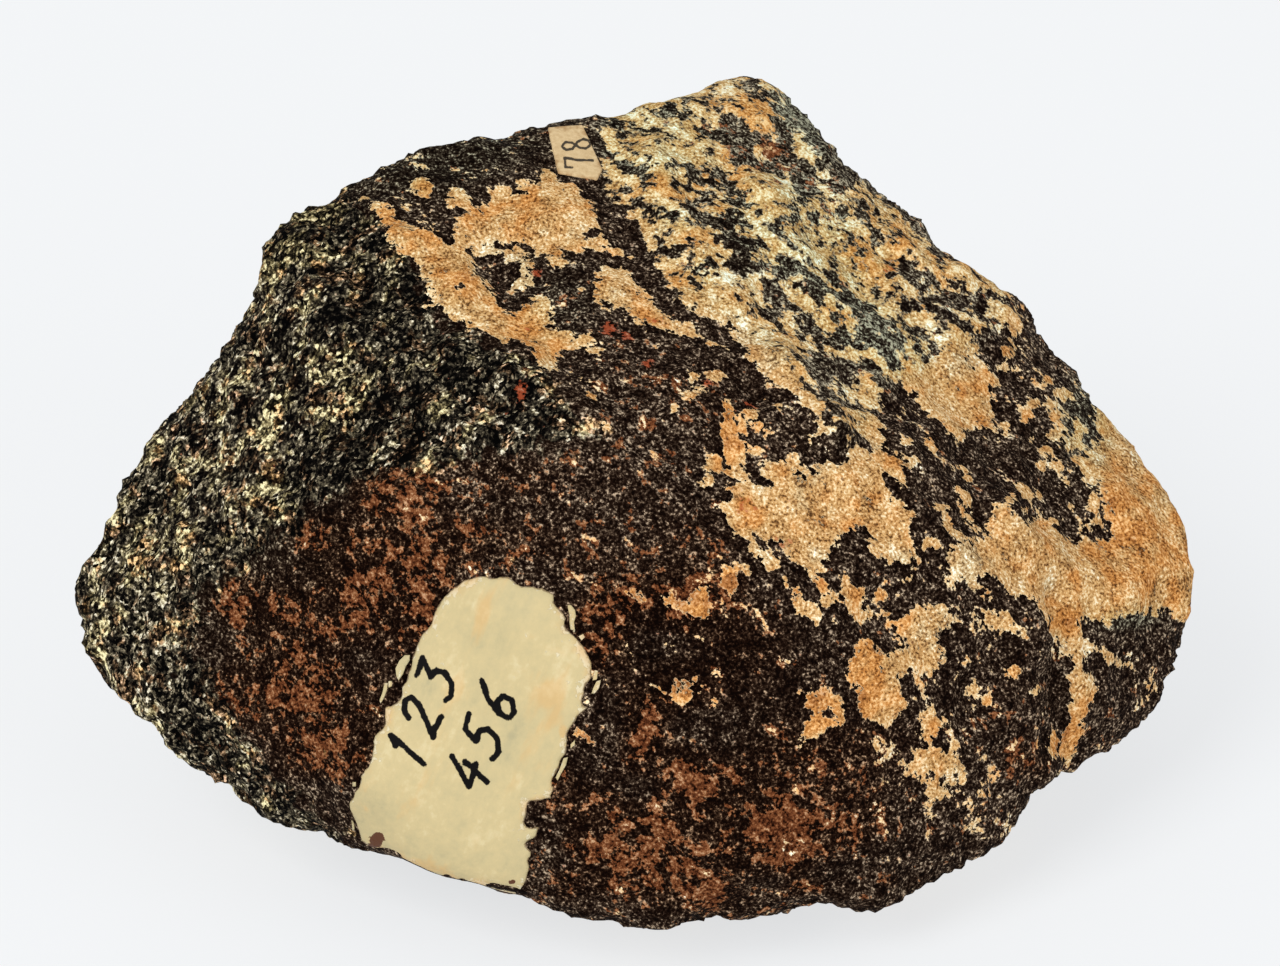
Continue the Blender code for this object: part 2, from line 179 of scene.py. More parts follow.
@dataclass(frozen=True)
class Blot:
    """A soft oval spot in the show view, in pixels.

    Attributes:
        right: Its middle, from the frame's left edge.
        down: Its middle, from the frame's top edge.
        long: Half its length.
        wide: Half its width.
        turn: How far its length is turned down from level, in degrees.
        amount: What it adds in its middle.
    """

    right: float
    down: float
    long: float
    wide: float
    turn: float = 0.0
    amount: float = 1.0

    def at(self, places: np.ndarray) -> np.ndarray:
        """What the blot adds at places of the view, given as pixels, one pair a row.

        Args:
            places: Places of the view, in pixels, one pair a row.

        Returns:
            What it adds at each.
        """
        cosine, sine = math.cos(math.radians(self.turn)), math.sin(math.radians(self.turn))
        away = places - np.array([self.right, self.down])
        along = (away @ np.array([cosine, sine])) / self.long
        beside = (away @ np.array([-sine, cosine])) / self.wide
        return self.amount / (1.0 + (along**2 + beside**2) ** 2)


def total(spots: list[Blot], places: np.ndarray) -> np.ndarray:
    """What blots add together at places of the view."""
    return sum((spot.at(places) for spot in spots), np.zeros(len(places)))


def blots(*rows: tuple[float, float, float, float, float, float]) -> list[Blot]:
    """Blots, each given as its right, down, long, wide, turn and amount."""
    return [Blot(*row) for row in rows]


PATCH_OUTLINE = Outline([
    (464, 579), (477, 575), (510, 576), (519, 583), (536, 586), (545, 589), (551, 590), (554, 594),
    (555, 604), (560, 609), (565, 613), (566, 620), (568, 627), (573, 633), (580, 639), (584, 644),
    (588, 653), (592, 660), (594, 667), (592, 676), (589, 684), (587, 692), (584, 700), (583, 706),
    (589, 706), (587, 711), (582, 715), (578, 717), (576, 724), (571, 729), (569, 734), (569, 741),
    (567, 747), (567, 756), (562, 760), (559, 768), (555, 776), (552, 783), (554, 791), (553, 800),
    (529, 802), (526, 824), (540, 826), (538, 837), (525, 844), (532, 851), (530, 877), (519, 898),
    (506, 896), (484, 891), (462, 885), (434, 879), (412, 868), (396, 858), (383, 855), (378, 850),
    (366, 845), (360, 841), (357, 832), (355, 825), (351, 818), (348, 812), (349, 802), (352, 791),
    (358, 787), (360, 779), (360, 773), (364, 768), (369, 765), (370, 755), (372, 745), (373, 737),
    (383, 729), (384, 721), (383, 712), (385, 706), (392, 704), (397, 701), (399, 694), (402, 684),
    (406, 676), (409, 668), (411, 661), (413, 652), (414, 644), (427, 627), (436, 605), (449, 590),
])
# Flakes that have come away from the patch.
PATCH_FLAKES = [
    Outline([
        (396, 668), (400, 660), (405, 655), (410, 655), (410, 660), (406, 666), (403, 674), (399, 680),
        (397, 676),
    ]),
    Outline([(385, 683), (388, 683), (387, 690), (384, 698), (381, 703), (380, 700), (383, 692)]),
    Outline([(389, 681), (392, 681), (392, 686), (389, 687)]),
    Outline([(353, 782), (356, 782), (356, 786), (353, 786)]),
    Outline([(352, 820), (355, 821), (356, 828), (353, 830)]),
    Outline([
        (568, 605), (571, 605), (575, 610), (576, 616), (574, 622), (575, 631), (573, 634), (571, 629),
        (570, 622), (570, 615),
    ]),
    Outline([(579, 636), (583, 634), (585, 637), (582, 640)]),
    Outline([(595, 670), (598, 671), (597, 679), (593, 680)]),
    Outline([(597, 681), (601, 680), (599, 688), (595, 693), (592, 693), (594, 687)]),
    Outline([(571, 744), (575, 740), (575, 745), (571, 748)]),
    Outline([(564, 758), (568, 757), (566, 765), (561, 774), (558, 780), (556, 777), (560, 769)]),
]
TAG_OUTLINE = Outline([(546, 127), (583, 124), (604, 170), (598, 182), (557, 175)])

# The fresh break at the left end.
FRESH_BREAK = Outline([
    (300, 205), (255, 230), (240, 310), (180, 390), (100, 500), (60, 580), (70, 660), (120, 720),
    (200, 790), (300, 850), (350, 860), (345, 838), (292, 790), (238, 730), (190, 645), (208, 600),
    (268, 540), (330, 500), (372, 472), (450, 462), (545, 450), (600, 440), (560, 400), (540, 366),
    (486, 342), (440, 312), (410, 258), (384, 226), (360, 204), (340, 186),
])

# Where the tan crust lies on the front, and where it has holes.
CRUST_PATCHES = [
    Outline([
        (381, 215), (386, 209), (391, 208), (399, 217), (407, 222), (415, 229), (425, 230), (433, 233),
        (441, 234), (446, 240), (451, 232), (455, 224), (462, 219), (464, 211), (457, 207), (450, 207),
        (444, 203), (447, 191), (460, 191), (466, 195), (470, 204), (479, 208), (488, 206), (493, 196),
        (500, 189), (508, 190), (514, 194), (518, 186), (526, 189), (536, 185), (541, 178), (541, 168),
        (551, 168), (557, 180), (563, 187), (573, 188), (579, 197), (590, 202), (597, 211), (598, 226),
        (606, 240), (612, 249), (600, 245), (597, 250), (584, 248), (577, 252), (566, 252), (564, 264),
        (557, 268), (551, 265), (545, 255), (536, 252), (527, 247), (519, 243), (505, 241), (494, 244),
        (478, 245), (468, 242), (466, 252), (471, 264), (472, 276), (484, 282), (495, 290), (498, 302),
        (503, 312), (511, 312), (519, 307), (528, 301), (536, 298), (545, 300), (548, 311), (556, 321),
        (560, 330), (569, 328), (575, 336), (579, 343), (573, 349), (562, 349), (557, 355), (561, 361),
        (549, 368), (541, 367), (536, 361), (529, 353), (531, 345), (520, 340), (507, 339), (498, 341),
        (489, 336), (486, 329), (476, 325), (465, 325), (457, 320), (445, 313), (440, 302), (432, 291),
        (433, 284), (426, 275), (418, 266), (410, 257), (404, 250), (396, 244), (388, 240), (384, 228),
    ]),
    Outline([
        (605, 266), (612, 264), (621, 265), (627, 273), (630, 281), (638, 288), (647, 295), (655, 305),
        (664, 313), (678, 324), (692, 332), (703, 338), (688, 338), (672, 332), (658, 334), (648, 331),
        (638, 322), (630, 312), (618, 307), (604, 303), (594, 297), (596, 282),
    ]),
    Outline([
        (660, 260), (688, 258), (697, 280), (716, 285), (742, 280), (748, 290), (742, 300), (746, 306),
        (736, 314), (742, 322), (752, 326), (758, 320), (768, 326), (778, 334), (784, 342), (792, 350),
        (800, 358), (803, 366), (805, 378), (816, 386), (826, 392), (834, 402), (838, 408), (826, 411),
        (824, 420), (827, 430), (828, 440), (822, 440), (818, 428), (815, 416), (804, 406), (797, 398),
        (788, 390), (780, 382), (770, 380), (762, 374), (756, 366), (746, 362), (744, 350), (738, 344),
        (733, 334), (728, 326), (718, 318), (702, 314), (690, 306), (680, 296),
    ]),
    Outline([
        (724, 487), (745, 484), (762, 482), (771, 483), (762, 475), (762, 470), (768, 465), (784, 460),
        (791, 458), (797, 461), (799, 467), (806, 471), (812, 470), (815, 465), (822, 461), (822, 454),
        (825, 447), (829, 446), (832, 453), (834, 460), (842, 460), (847, 455), (848, 446), (853, 443),
        (863, 449), (870, 452), (872, 446), (869, 436), (866, 426), (872, 412), (880, 408), (884, 420),
        (884, 436), (886, 446), (891, 450), (899, 452), (905, 456), (912, 467), (903, 472), (904, 478),
        (907, 485), (906, 492), (901, 494), (902, 504), (910, 508), (916, 512), (917, 518), (908, 526),
        (904, 527), (905, 535), (913, 545), (918, 552), (921, 559), (918, 565), (908, 568), (897, 568),
        (890, 563), (880, 560), (876, 555), (869, 541), (862, 530), (857, 528), (852, 536), (843, 538),
        (838, 540), (834, 546), (833, 553), (830, 558), (822, 563), (816, 570), (812, 577), (807, 575),
        (803, 567), (791, 559), (785, 553), (778, 546), (768, 543), (752, 539), (740, 538), (733, 540),
        (728, 533), (723, 523), (722, 514), (726, 500), (725, 494),
    ]),
    Outline([
        (888, 368), (905, 388), (917, 402), (930, 413), (938, 418), (945, 426), (952, 436), (959, 441),
        (965, 439), (967, 431), (978, 427), (986, 431), (993, 432), (990, 420), (994, 410), (991, 397),
        (986, 391), (998, 385), (990, 376), (978, 364), (966, 352), (975, 340), (970, 325), (958, 323),
        (955, 332), (945, 338), (938, 356), (917, 356),
    ]),
    Outline([
        (1076, 380), (1080, 395), (1086, 402), (1088, 412), (1090, 420), (1096, 428), (1097, 437),
        (1092, 444), (1089, 457), (1078, 456), (1071, 460), (1074, 468), (1079, 474), (1086, 481),
        (1100, 482), (1103, 491), (1102, 500), (1107, 511), (1113, 521), (1110, 538), (1100, 541),
        (1089, 540), (1088, 534), (1094, 529), (1087, 524), (1079, 527), (1078, 539), (1072, 543),
        (1065, 538), (1055, 528), (1046, 524), (1040, 515), (1034, 518), (1031, 523), (1024, 521),
        (1014, 515), (1012, 508), (1002, 504), (992, 505), (991, 517), (985, 516), (990, 525), (987, 540),
        (982, 544), (972, 541), (964, 536), (955, 534), (958, 543), (947, 544), (944, 554), (946, 561),
        (941, 565), (950, 570), (958, 578), (966, 582), (974, 591), (984, 600), (994, 597), (995, 590),
        (989, 584), (977, 579), (976, 575), (988, 579), (1001, 583), (1008, 593), (1014, 599), (1023, 595),
        (1031, 600), (1038, 606), (1049, 618), (1057, 630), (1067, 640), (1072, 650), (1073, 664),
        (1073, 690), (1072, 706), (1063, 730), (1058, 748), (1062, 760), (1072, 758), (1077, 745),
        (1080, 728), (1087, 706), (1096, 690), (1090, 676), (1084, 664), (1082, 640), (1081, 622),
        (1087, 616), (1096, 622), (1106, 623), (1114, 618), (1126, 615), (1146, 611), (1160, 614),
        (1170, 608), (1177, 613), (1180, 622), (1200, 625), (1230, 600), (1230, 480), (1150, 400),
        (1100, 365),
    ]),
    Outline([
        (957, 488), (966, 492), (972, 499), (969, 505), (971, 514), (978, 521), (981, 530), (977, 534),
        (970, 526), (962, 516), (960, 506), (961, 498),
    ]),
    Outline([
        (885, 606), (900, 619), (928, 606), (944, 601), (954, 623), (954, 634), (937, 636), (950, 653),
        (933, 675), (909, 664), (900, 681), (905, 712), (881, 725), (857, 712), (855, 690), (848, 673),
        (855, 642), (870, 642), (885, 653), (907, 642),
    ]),
    Outline([(792, 690), (846, 699), (846, 725), (824, 731), (800, 747), (809, 712)]),
    Outline([(921, 716), (933, 712), (941, 722), (938, 740), (929, 745), (919, 735)]),
    Outline([
        (838, 322), (850, 325), (862, 335), (873, 345), (878, 358), (890, 366), (902, 370), (896, 381),
        (880, 372), (862, 372), (856, 362), (845, 355), (843, 348), (856, 342), (848, 334),
    ]),
    Outline([(842, 377), (858, 378), (872, 388), (887, 396), (883, 401), (866, 398), (850, 392)]),
    Outline([
        (844, 414), (857, 418), (862, 411), (873, 410), (884, 420), (886, 448), (870, 452), (857, 446),
        (848, 436), (841, 424),
    ]),
]
CRUST_HOLES = [
    Outline([(581, 233), (588, 228), (596, 229), (599, 238), (592, 242), (584, 240)]),
    Outline([(455, 280), (464, 280), (463, 291), (455, 291)]),
    Outline([(824, 706), (834, 706), (835, 718), (825, 719)]),
    Outline([
        (881, 470), (884, 472), (888, 479), (895, 480), (892, 486), (897, 492), (893, 496), (895, 505),
        (890, 505), (886, 498), (890, 493), (886, 486), (883, 478),
    ]),
]

# Behind the ridge the crust is nearly whole, and the black rock shows in its gaps.
RIDGE_BACK = Outline([
    (600, 110), (640, 94), (690, 84), (716, 66), (772, 64), (812, 108), (830, 128), (864, 154), (904, 182),
    (936, 208), (968, 246), (1016, 276), (1008, 318), (982, 352), (940, 352), (904, 374), (886, 402),
    (862, 442), (838, 452), (826, 416), (806, 388), (770, 352), (744, 330), (728, 322), (700, 312),
    (678, 298), (662, 276), (652, 262), (646, 238), (632, 212), (606, 198),
])
RIDGE_BACK_GAPS = blots(
    # The vein below the right shoulder is whole, so its blots close gaps.
    (1056, 621, 9, 8, 30, 1.2), (1064, 633, 8, 8, 30, 0.9), (1078, 648, 6, 12, 0, 0.7),
    (1078, 690, 9, 20, 0, 0.4), (1070, 738, 8, 14, 10, 0.5),
    # Left of the peak, and below it.
    (612, 128, 14, 8, 20, -1.2), (608, 152, 12, 6, 10, -1.6), (630, 167, 19, 7, 35, -1.6),
    (645, 172, 4, 9, 20, -1.5), (655, 112, 20, 6, 0, -0.9), (683, 108, 7, 7, 0, -1.6),
    (664, 120, 12, 7, 0, -0.8), (676, 132, 4, 4, 0, -1.4), (674, 165, 22, 4, 15, -1.4),
    (692, 175, 12, 8, 40, -1.0), (628, 188, 6, 6, 0, -1.6), (640, 204, 15, 5, 45, -1.4),
    (678, 214, 18, 5, 28, -1.4), (691, 205, 8, 7, 0, -1.7), (704, 204, 6, 10, 0, -1.6),
    (710, 188, 9, 7, 0, -1.5), (738, 194, 28, 5, 45, -1.5), (730, 206, 14, 5, 50, -1.2),
    (712, 222, 14, 6, 10, -1.4), (684, 253, 7, 13, -30, -1.7), (662, 246, 14, 3, 60, -1.4),
    (732, 245, 13, 21, -10, -2.4), (740, 268, 14, 10, 0, -1.6), (728, 254, 5, 5, 0, 2.4),
    (704, 272, 9, 9, 0, -1.5), (752, 228, 22, 3, 50, -0.8), (772, 228, 28, 3, 50, -0.9),
    (795, 248, 12, 3, 60, -0.9), (800, 262, 22, 3, 5, -0.9),
    # The peak.
    (750, 87, 9, 7, 0, -2.0), (742, 78, 20, 3, 0, -1.4), (717, 92, 9, 6, 40, -1.8),
    (706, 108, 14, 14, 0, -0.5), (712, 130, 14, 9, 0, -1.3), (731, 130, 11, 19, 0, -2.3),
    (752, 136, 13, 5, 0, -1.5), (744, 153, 17, 13, 20, -2.3), (759, 152, 7, 6, 0, 1.9),
    (785, 165, 32, 11, 25, -2.3), (803, 182, 11, 16, 0, -2.3), (787, 112, 17, 26, -20, -2.0),
    (778, 145, 13, 13, 0, -1.8), (809, 132, 24, 8, 55, -1.5), (814, 148, 8, 8, 0, -1.2),
    (838, 174, 26, 12, 50, -1.5), (797, 150, 4, 11, 0, 1.5), (803, 108, 26, 8, 56, -1.8),
    (830, 142, 22, 8, 54, -1.8), (856, 168, 20, 7, 42, -1.8),
    # The far slope.
    (815, 218, 30, 5, 0, -1.2), (838, 210, 10, 16, 0, -0.9), (835, 186, 12, 8, 0, -1.1),
    (872, 182, 16, 5, 42, -1.2), (896, 200, 14, 6, 40, -1.4), (924, 228, 34, 9, 45, -2.6),
    (861, 222, 6, 18, 0, -1.6), (878, 241, 6, 13, 0, -1.5), (910, 262, 6, 14, 0, -1.6),
    (920, 277, 20, 9, 10, -1.9), (955, 305, 34, 16, 10, -2.4), (990, 332, 9, 24, 0, -2.2),
    (990, 299, 20, 5, 0, -1.8), (930, 336, 12, 7, -30, -1.2), (936, 348, 5, 8, 0, -1.2),
    # The dark band above the ridge streak.
    (780, 272, 26, 7, 8, -1.5), (780, 298, 28, 17, 35, -2.2), (825, 290, 36, 10, 25, -1.5),
    (860, 308, 40, 11, 35, -1.7), (872, 330, 22, 12, 30, -1.9), (892, 350, 18, 12, 40, -1.8),
    (832, 336, 32, 9, 15, -1.5), (833, 288, 10, 4, 10, 1.6), (828, 301, 5, 6, 0, 1.6),
    (800, 298, 16, 5, 50, 1.9), (838, 366, 30, 13, 15, -1.9), (828, 388, 22, 9, 40, -1.8),
    (880, 380, 18, 5, 35, -1.7), (892, 398, 8, 14, -20, -1.6), (862, 405, 24, 5, 20, -1.4),
    (830, 413, 9, 4, 15, -1.4), (863, 439, 11, 4, 50, -2.4), (834, 440, 8, 14, 20, -1.5),
    (818, 366, 16, 12, 40, -1.8), (832, 350, 8, 3, 30, 1.6), (818, 392, 14, 5, 45, -1.3),
    (742, 318, 5, 4, 0, -1.8),
)

# What the crust's cover is where no outline holds it: the share of the ground that small specks cover.
CRUST_GROUND = -1.15
CRUST_SPECKS = blots(
    # Below the ridge streak.
    (618, 252, 5, 5, 0, 2.0), (632, 257, 4, 3, 0, 1.8), (690, 330, 6, 8, -40, 1.4),
    (718, 346, 17, 4, 15, 1.5), (716, 376, 10, 5, 5, 2.2), (702, 390, 8, 4, 30, 1.6),
    (694, 376, 6, 5, 0, 2.0), (690, 396, 7, 5, 10, 1.9), (674, 409, 5, 6, 0, 1.9), (764, 397, 4, 6, 0, 1.7),
    (778, 407, 5, 5, 30, 1.6), (810, 440, 5, 6, 30, 1.8),
    # Small patches on the dark right shoulder.
    (992, 308, 13, 9, 20, 2.3), (1014, 325, 8, 13, 0, 2.2), (985, 326, 6, 4, 0, 1.9),
    (1006, 352, 10, 8, 0, 2.4), (1003, 369, 7, 5, 20, 2.0), (1078, 424, 22, 32, 0, 0.5),
    (1030, 410, 70, 50, 30, 0.2), (931, 446, 4, 8, -30, 2.2), (897, 410, 12, 7, 20, 1.8),
    (1035, 403, 5, 5, 0, 2.2), (1051, 405, 5, 3, 0, 2.0), (1062, 393, 8, 4, 10, 2.3),
    (1046, 381, 6, 4, 0, 2.0), (1055, 416, 5, 4, 0, 2.1), (1025, 418, 4, 6, 0, 1.9),
    (1006, 424, 5, 4, 0, 2.0), (1052, 436, 8, 5, 0, 2.4), (1032, 438, 4, 5, 0, 1.9),
    (1048, 449, 8, 4, 10, 2.1), (1078, 430, 3, 8, -10, 2.0), (1073, 444, 6, 5, 0, 2.3),
    (1042, 466, 5, 5, 0, 2.0), (1058, 464, 6, 5, 20, 1.8), (1023, 467, 4, 4, 0, 1.7),
    (1067, 482, 3, 5, 0, 2.1), (1094, 503, 7, 8, -20, 2.4), (1071, 508, 4, 4, 0, 2.0),
    (1024, 489, 8, 5, 35, 2.4), (1039, 495, 4, 5, -30, 2.1), (1012, 498, 7, 4, 10, 2.1),
    (1025, 509, 5, 4, 0, 1.9), (1054, 522, 7, 4, 10, 1.9), (1095, 523, 7, 4, 0, 2.0),
    (963, 468, 7, 3, 20, 1.9), (968, 478, 5, 3, 0, 1.9), (942, 508, 8, 5, 20, 2.2),
    (947, 529, 5, 9, -20, 2.3), (930, 548, 9, 9, 0, 2.5), (930, 551, 3, 3, 0, -3.2),
    (907, 442, 7, 3, 0, 1.8), (915, 460, 4, 5, 0, 1.9), (908, 578, 6, 7, 0, 2.1), (881, 595, 6, 5, 0, 1.9),
    # Specks round the large patch in the middle.
    (726, 415, 6, 15, 0, 1.8), (750, 414, 9, 7, 0, 2.0), (762, 428, 10, 3, 50, 1.7),
    (738, 430, 7, 7, 0, 1.3), (721, 434, 7, 4, 0, 1.5), (735, 451, 12, 11, 0, 2.7),
    (736, 467, 4, 6, 0, 1.8), (712, 465, 8, 10, 0, 2.0), (742, 474, 18, 4, 0, 2.0),
    (704, 484, 7, 6, 0, 2.0), (752, 550, 5, 9, -20, 2.1), (771, 563, 10, 8, 30, 2.4),
    (748, 569, 7, 5, 30, 1.8), (731, 581, 8, 11, -10, 2.5), (703, 592, 8, 7, 0, 2.3),
    (704, 612, 6, 8, 0, 2.3), (821, 585, 5, 7, -20, 2.3), (784, 583, 4, 6, 0, 1.8),
    (797, 598, 6, 13, -5, 2.0), (826, 602, 7, 7, 0, 1.9), (807, 610, 6, 6, 0, 2.1),
    (817, 618, 4, 9, 0, 1.9), (851, 592, 12, 8, 20, 2.5), (854, 608, 7, 9, 0, 2.0),
    (869, 614, 8, 5, 0, 1.8),
    # Round the upper left patch.
    (421, 187, 13, 8, 40, 2.3), (364, 200, 6, 4, 0, 2.0), (378, 208, 7, 5, 0, 2.0),
    (485, 251, 15, 5, 0, 2.0), (514, 253, 9, 8, 0, 2.2),
    # Right of the number patch.
    (578, 733, 7, 4, 20, 2.3), (590, 742, 4, 8, -20, 2.2),
    # There are few in the rust.
    (340, 640, 130, 140, 0, -0.6), (650, 810, 150, 100, 0, -0.45),
    # More round the upper left patch.
    (527, 271, 9, 12, 0, 2.3), (519, 285, 10, 5, 0, 2.1), (585, 338, 7, 4, 0, 1.8),
    (594, 351, 8, 5, 0, 2.0), (580, 379, 9, 3, 20, 2.0), (591, 398, 7, 5, 0, 2.1),
    (428, 300, 9, 22, -30, 0.7), (460, 165, 90, 30, -15, 0.25),
    # The broad front.
    (667, 600, 9, 9, 0, 1.6), (690, 605, 9, 12, 0, 1.4), (637, 598, 11, 10, 0, 1.7),
    (685, 689, 16, 12, 0, 2.0), (655, 688, 8, 7, 0, 1.4), (940, 760, 24, 11, 10, 2.0),
    (936, 790, 8, 7, 0, 1.9), (930, 690, 40, 40, 0, 0.5), (945, 790, 70, 40, 20, 0.6),
    (870, 770, 60, 34, 0, 0.35),
    # The lobe on the right, and below it.
    (1000, 620, 15, 10, 20, 2.0), (1014, 671, 8, 7, 0, 2.0), (972, 690, 6, 6, 0, 1.9),
    (988, 701, 4, 5, 0, 1.9), (1034, 691, 6, 5, 0, 1.9), (975, 640, 40, 40, 0, 0.3),
    (1052, 745, 11, 13, 0, 1.6), (1120, 655, 40, 30, 0, 0.3), (1110, 658, 16, 5, 35, 1.9),
    (1150, 690, 6, 11, 0, 1.5),
)

# How far rust covers the black rock: what it is all over, and what the blots add to that.
RUST_GROUND = -1.9
RUST_BLOTS = blots(
    (395, 490, 34, 24, -10, 1.9), (318, 533, 22, 17, 10, 1.7), (237, 598, 22, 24, -40, 1.9),
    (278, 606, 18, 14, 0, 1.5), (358, 600, 26, 36, 20, 1.9), (303, 675, 40, 44, 0, 2.0),
    (232, 695, 16, 26, 0, 1.5), (280, 702, 18, 18, 0, 1.0), (330, 752, 42, 28, 0, 2.0),
    (424, 616, 18, 16, -30, 2.0), (395, 560, 30, 34, 20, 1.2), (450, 540, 60, 26, 0, 0.9),
    (600, 630, 26, 36, 10, 2.4), (637, 598, 20, 16, 0, 1.6), (688, 605, 30, 24, 0, 1.7),
    (731, 582, 14, 14, 0, 1.6), (648, 735, 14, 26, 0, 1.6), (683, 690, 26, 18, 0, 1.4),
    (694, 782, 18, 26, -30, 1.6), (652, 818, 20, 18, 0, 1.6), (768, 822, 26, 14, 0, 1.5),
    (600, 830, 30, 40, 0, 0.8), (640, 870, 60, 26, 0, 1.15), (720, 870, 80, 34, 0, 0.95),
    (830, 830, 60, 40, 0, 1.0), (560, 790, 26, 20, 20, 1.0), (575, 735, 14, 12, 0, 1.4),
    (870, 760, 60, 40, 0, 0.9), (960, 800, 50, 40, 0, 0.7), (740, 640, 60, 40, 0, 0.4),
    (520, 470, 60, 30, 0, 0.8), (640, 470, 60, 40, 0, 0.6), (620, 390, 40, 30, 0, 0.5),
    (700, 400, 50, 30, 30, 0.8), (760, 160, 44, 26, 20, 1.4), (820, 200, 24, 30, 20, 1.0),
    (1020, 700, 60, 50, 0, 0.5), (700, 540, 60, 30, 0, 0.6), (628, 600, 14, 10, 0, 1.2),
    (690, 596, 24, 18, 20, 1.3), (648, 705, 18, 12, 0, 1.3), (640, 745, 14, 22, 20, 1.2),
    (688, 770, 18, 14, 40, 1.4), (775, 838, 24, 22, 30, 1.0), (702, 896, 24, 12, 0, 0.9),
    (740, 800, 60, 30, 20, 0.5), (800, 760, 40, 30, 0, 0.6), (420, 590, 24, 40, 30, 0.8),
    (560, 545, 60, 24, 10, 0.6), (568, 846, 12, 8, 0, 1.4), (566, 884, 10, 14, 0, 1.5),
    (650, 819, 10, 8, 0, 1.2), (777, 824, 17, 9, 0, 1.3), (842, 842, 11, 6, 0, 1.3),
    (788, 863, 12, 11, 0, 1.3), (713, 897, 12, 11, 0, 1.5), (802, 887, 18, 7, -10, 1.2),
    (889, 880, 8, 6, 0, 1.4), (743, 771, 10, 8, 0, 1.2), (1025, 765, 24, 20, 0, 1.4),
    # Plain black ground.
    (560, 850, 26, 12, 60, -0.9), (640, 790, 20, 12, 20, -1.2), (760, 880, 34, 12, 0, -0.9),
    (850, 860, 50, 16, -20, -0.6), (590, 700, 20, 26, 0, -1.0), (310, 503, 38, 14, -10, -0.9),
    (350, 658, 24, 16, 0, -1.0), (330, 800, 30, 16, 20, -1.2), (680, 660, 66, 34, 0, -0.9),
    (706, 726, 34, 18, 0, -1.3), (590, 742, 22, 34, 0, -1.0), (650, 640, 44, 14, 0, -0.9),
    (1010, 780, 40, 30, 0, -0.4),
)

# Where the fresh break and the black rock are paler, and where they are darker.
PALE_BLOTS = blots(
    (200, 430, 80, 60, 60, 0.3), (120, 590, 60, 70, 0, 0.22), (290, 330, 60, 50, 0, 0.1),
    (190, 570, 80, 40, -40, 0.1), (350, 250, 50, 36, 20, -0.3), (330, 500, 60, 30, -20, -0.2),
    (275, 232, 20, 20, 0, -0.6), (330, 215, 40, 20, 0, -0.5), (390, 330, 60, 60, 20, -0.35),
    (330, 420, 80, 50, 0, -0.15), (420, 340, 24, 14, -30, 0.9), (440, 400, 90, 50, 0, -0.3),
    (500, 440, 60, 30, 0, 0.3), (230, 750, 60, 24, 45, -0.1), (150, 680, 60, 40, 30, 0.1),
    (805, 225, 60, 40, 30, 0.6), (640, 130, 70, 40, 0, 0.2), (890, 335, 50, 24, 30, 0.5),
    (790, 115, 26, 34, -20, 0.35), (732, 248, 16, 24, -10, -0.7), (955, 300, 34, 16, 10, -0.5),
    (800, 290, 34, 14, 20, -0.3), (350, 640, 110, 120, 0, -0.45), (1080, 420, 30, 50, 0, 0.7),
    (1130, 622, 36, 11, -5, 0.8), (940, 790, 90, 40, 10, 0.35), (680, 650, 90, 50, 0, -0.75),
    (700, 780, 170, 110, 0, -0.45), (640, 430, 80, 50, 0, 0.25),
)

# The green-grey weathered skin.
GREY_BLOTS = blots(
    (800, 235, 66, 40, 30, 1.0), (650, 140, 60, 40, 0, 0.6), (875, 335, 50, 22, 35, 1.2),
    (798, 118, 16, 44, -30, 0.8), (672, 218, 18, 8, 25, 0.9), (703, 272, 10, 10, 0, 0.9),
    (1128, 620, 32, 10, -5, 0.9), (1084, 420, 22, 44, 0, 0.9), (200, 480, 110, 130, 30, 0.6),
    (110, 610, 50, 70, 0, 0.5), (560, 300, 36, 34, 0, 0.5), (450, 158, 100, 30, -15, 0.8),
    (300, 232, 50, 34, -40, 0.6), (350, 330, 90, 80, 0, 0.35),
)

# The small red spots.
RED_SPOTS = blots(
    (608, 328, 8, 7, 0, 1.3), (627, 336, 9, 6, 0, 1.3), (648, 364, 6, 5, 0, 1.2),
    (522, 390, 6, 14, 20, 1.1), (537, 273, 5, 4, 0, 1.2), (655, 322, 10, 7, 30, 0.9),
    (746, 506, 14, 9, 20, 0.9), (785, 543, 16, 7, 10, 0.7), (762, 488, 8, 5, 0, 0.5),
    (822, 583, 5, 4, 0, 0.9), (706, 384, 6, 5, 0, 0.9), (749, 405, 6, 6, 0, 1.0),
    (500, 290, 14, 10, 30, 0.45), (533, 330, 10, 4, 0, 0.8), (887, 268, 12, 9, 0, 0.6),
    (268, 472, 8, 5, 0, 0.5),
)

